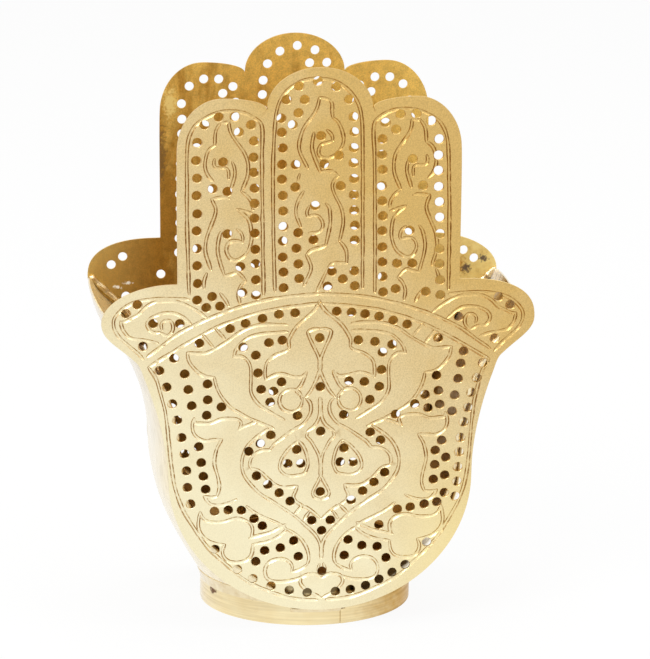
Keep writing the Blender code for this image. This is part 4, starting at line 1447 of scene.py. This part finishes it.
def lacquer_outside(tree, shader, inner, uncoated):
    """A coat of clear lacquer on the outside, except where a mask leaves it off."""
    lacquered(shader)
    bare = combined(tree, "MAXIMUM", inner, uncoated)
    tree.links.new(rest_of(tree, bare), shader.inputs["Coat Weight"])


satin = mapped(tree, hatching, (0.3, 0.7), (0.25, 0.45))
# The painted shade is also rougher, less metallic and without lacquer, which darkens it further.
tree.links.new(combined(tree, "ADD", satin, painted_shade), shader.inputs["Roughness"])
dull_lip = combined(tree, "MULTIPLY", combined(tree, "MULTIPLY", inner, lip), LIP_DULLNESS)
covered = combined(tree, "ADD", dull_lip, painted_shade)
tree.links.new(rest_of(tree, covered), shader.inputs["Metallic"])
shader.inputs["Specular IOR Level"].default_value = DULL_SHINE
lacquer_outside(tree, shader, inner, painted_shade)
bumped(tree, shader, hatching, strength=0.5, distance=0.05 * MM)
print("walls: scratched, with a coat of index", LACQUER_BEND)

# %% [markdown]
# ## The brass of the ring and the floor
# The strip was brushed along its length before it was rolled, so its lines run round the ring: a noise that
# is stretched flat gives them. On the right the ring turns deeper in patches and has no lacquer there. A
# few pits are left from soldering, the dark line on the ring's upper edge behind the front hand is painted
# shade, and the inner faces of the ring and the floor are dark with painted shade.

# %% Brushed brass of the ring
RING_PALE = (1.0, 0.85, 0.48)
RING_GOLD = (0.90, 0.67, 0.28)
RING_DEEP = (0.60, 0.36, 0.09)
ring_brass, tree, shader, place, axes = new_brass("ring_brass")
lines_round = group_mask(tree, brushed_lines, Place=place, Stretch=(50, 50, 1500))
streaks = mapped(tree, lines_round, (0.4, 0.7), (0, 1))
clouds = group_mask(tree, cloud_mask, Place=place, Size=90, Ground=0.35, Amount=1.6)
# Deeper in patches towards the right.
towards_the_right = mapped(tree, axes["X"], (8 * MM, 23 * MM), (-0.1, 1))
deeper_patches = group_mask(tree, cloud_mask, Place=place, Size=450, Ground=towards_the_right, Amount=0.8)
metal = mixed_colour(tree, clouds, RING_PALE, RING_GOLD)
metal = mixed_colour(tree, deeper_patches, metal, RING_DEEP)
metal = tinted(tree, metal, streaks, 0.84)
print("material:", ring_brass.name, "from", RING_PALE, "to", RING_DEEP)

# %% Painted shade, pits and bare patches of the ring
PIT = (0.20, 0.10, 0.045)
PITS = [
    ((-25.8, -11.0, 5.2), (1.9, 2.6, 1.0)),
    ((6.8, -26.8, 4.9), (0.9, 2, 1.2)),
    ((-16.4, -22.4, 6.2), (0.8, 0.9, 0.5)),
    ((-11.3, -25.1, 5.8), (0.9, 0.9, 0.45)),
    ((-8.1, -26.3, 5.5), (0.9, 0.9, 0.45)),
    ((-4.6, -27.1, 5.0), (1.2, 0.9, 0.45)),
]
# The ring's upper edge behind the front hand is darkened: painted shade.
upper_edge = mapped(tree, axes["Z"], (8.3 * MM, 9.0 * MM), (0, 1))
behind_hand = combined(tree, "MULTIPLY", upper_edge, mapped(tree, axes["Y"], (-22 * MM, -19 * MM), (1, 0)))
painted_shade = combined(tree, "MULTIPLY", behind_hand, mapped(tree, axes["X"], (-12 * MM, -3 * MM), (0, 0.9)))
metal = mixed_colour(tree, painted_shade, metal, PAINTED_SHADE_BROWN)
uncoated = combined(tree, "MAXIMUM", painted_shade, deeper_patches)
for middle, reach in PITS:
    pit = spot_mask(tree, place, middle, reach)
    metal = mixed_colour(tree, pit, metal, PIT)
    uncoated = combined(tree, "ADD", uncoated, pit)
inner = attribute(tree, "inner")
# Inside, the ring and the floor are dark: painted shade.
tree.links.new(mixed_colour(tree, inner, metal, SHADED_BRASS), shader.inputs["Base Color"])
tree.links.new(mapped(tree, lines_round, (0.3, 0.7), (0.28, 0.5)), shader.inputs["Roughness"])
lacquer_outside(tree, shader, inner, uncoated)
bumped(tree, shader, lines_round, strength=0.4, distance=0.04 * MM)
print("ring:", len(PITS), "pits")

# %% [markdown]
# ## The look of the solder
# This is hard solder, a brass itself, so it is only a little duller than the sheets. Small clouds change its
# colour, and the same clouds dent it, because the low places are the ones that a file and a brush miss. It
# was lacquered with the walls.

# %% Solder
SOLDER_PALE = (0.95, 0.82, 0.52)
SOLDER_DULL = (0.72, 0.53, 0.24)
SOLDER_ROUGHNESS = 0.36
solder, tree, shader, place, _ = new_brass("solder")
clouds = group_mask(tree, cloud_mask, Place=place, Size=400, Ground=0.35, Amount=1.6)
tree.links.new(mixed_colour(tree, clouds, SOLDER_PALE, SOLDER_DULL), shader.inputs["Base Color"])
shader.inputs["Roughness"].default_value = SOLDER_ROUGHNESS
lacquered(shader)
bumped(tree, shader, clouds, strength=0.6, distance=0.2 * MM)
print("material:", solder.name, "from", SOLDER_PALE, "to", SOLDER_DULL)

# %% [markdown]
# ## Handing the pieces over
# Every piece rides on the one body of the frame, stands in for its solid, whose part is hidden, and takes
# its brass from this script. The last lines note how many triangles each piece has.


# %% Join the pieces to the frame
def hand_over(piece, node, material):
    piece.data.materials.append(material)
    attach(piece, "root")
    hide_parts(node)
    piece.data.calc_loop_triangles()
    print(piece.name, "for", node, "with", len(piece.data.loop_triangles), "triangles")


hand_over(front_hand, "front_hand", engraved_brass)
hand_over(rear_hand, "rear_hand", engraved_brass)
hand_over(left_wall, "left_side_wall", sheet_brass)
hand_over(right_wall, "right_side_wall", sheet_brass)
hand_over(ring, "base_ring", ring_brass)
hand_over(candle_floor, "base_floor", ring_brass)
for node, bead in beads.items():
    hand_over(bead, node, solder)
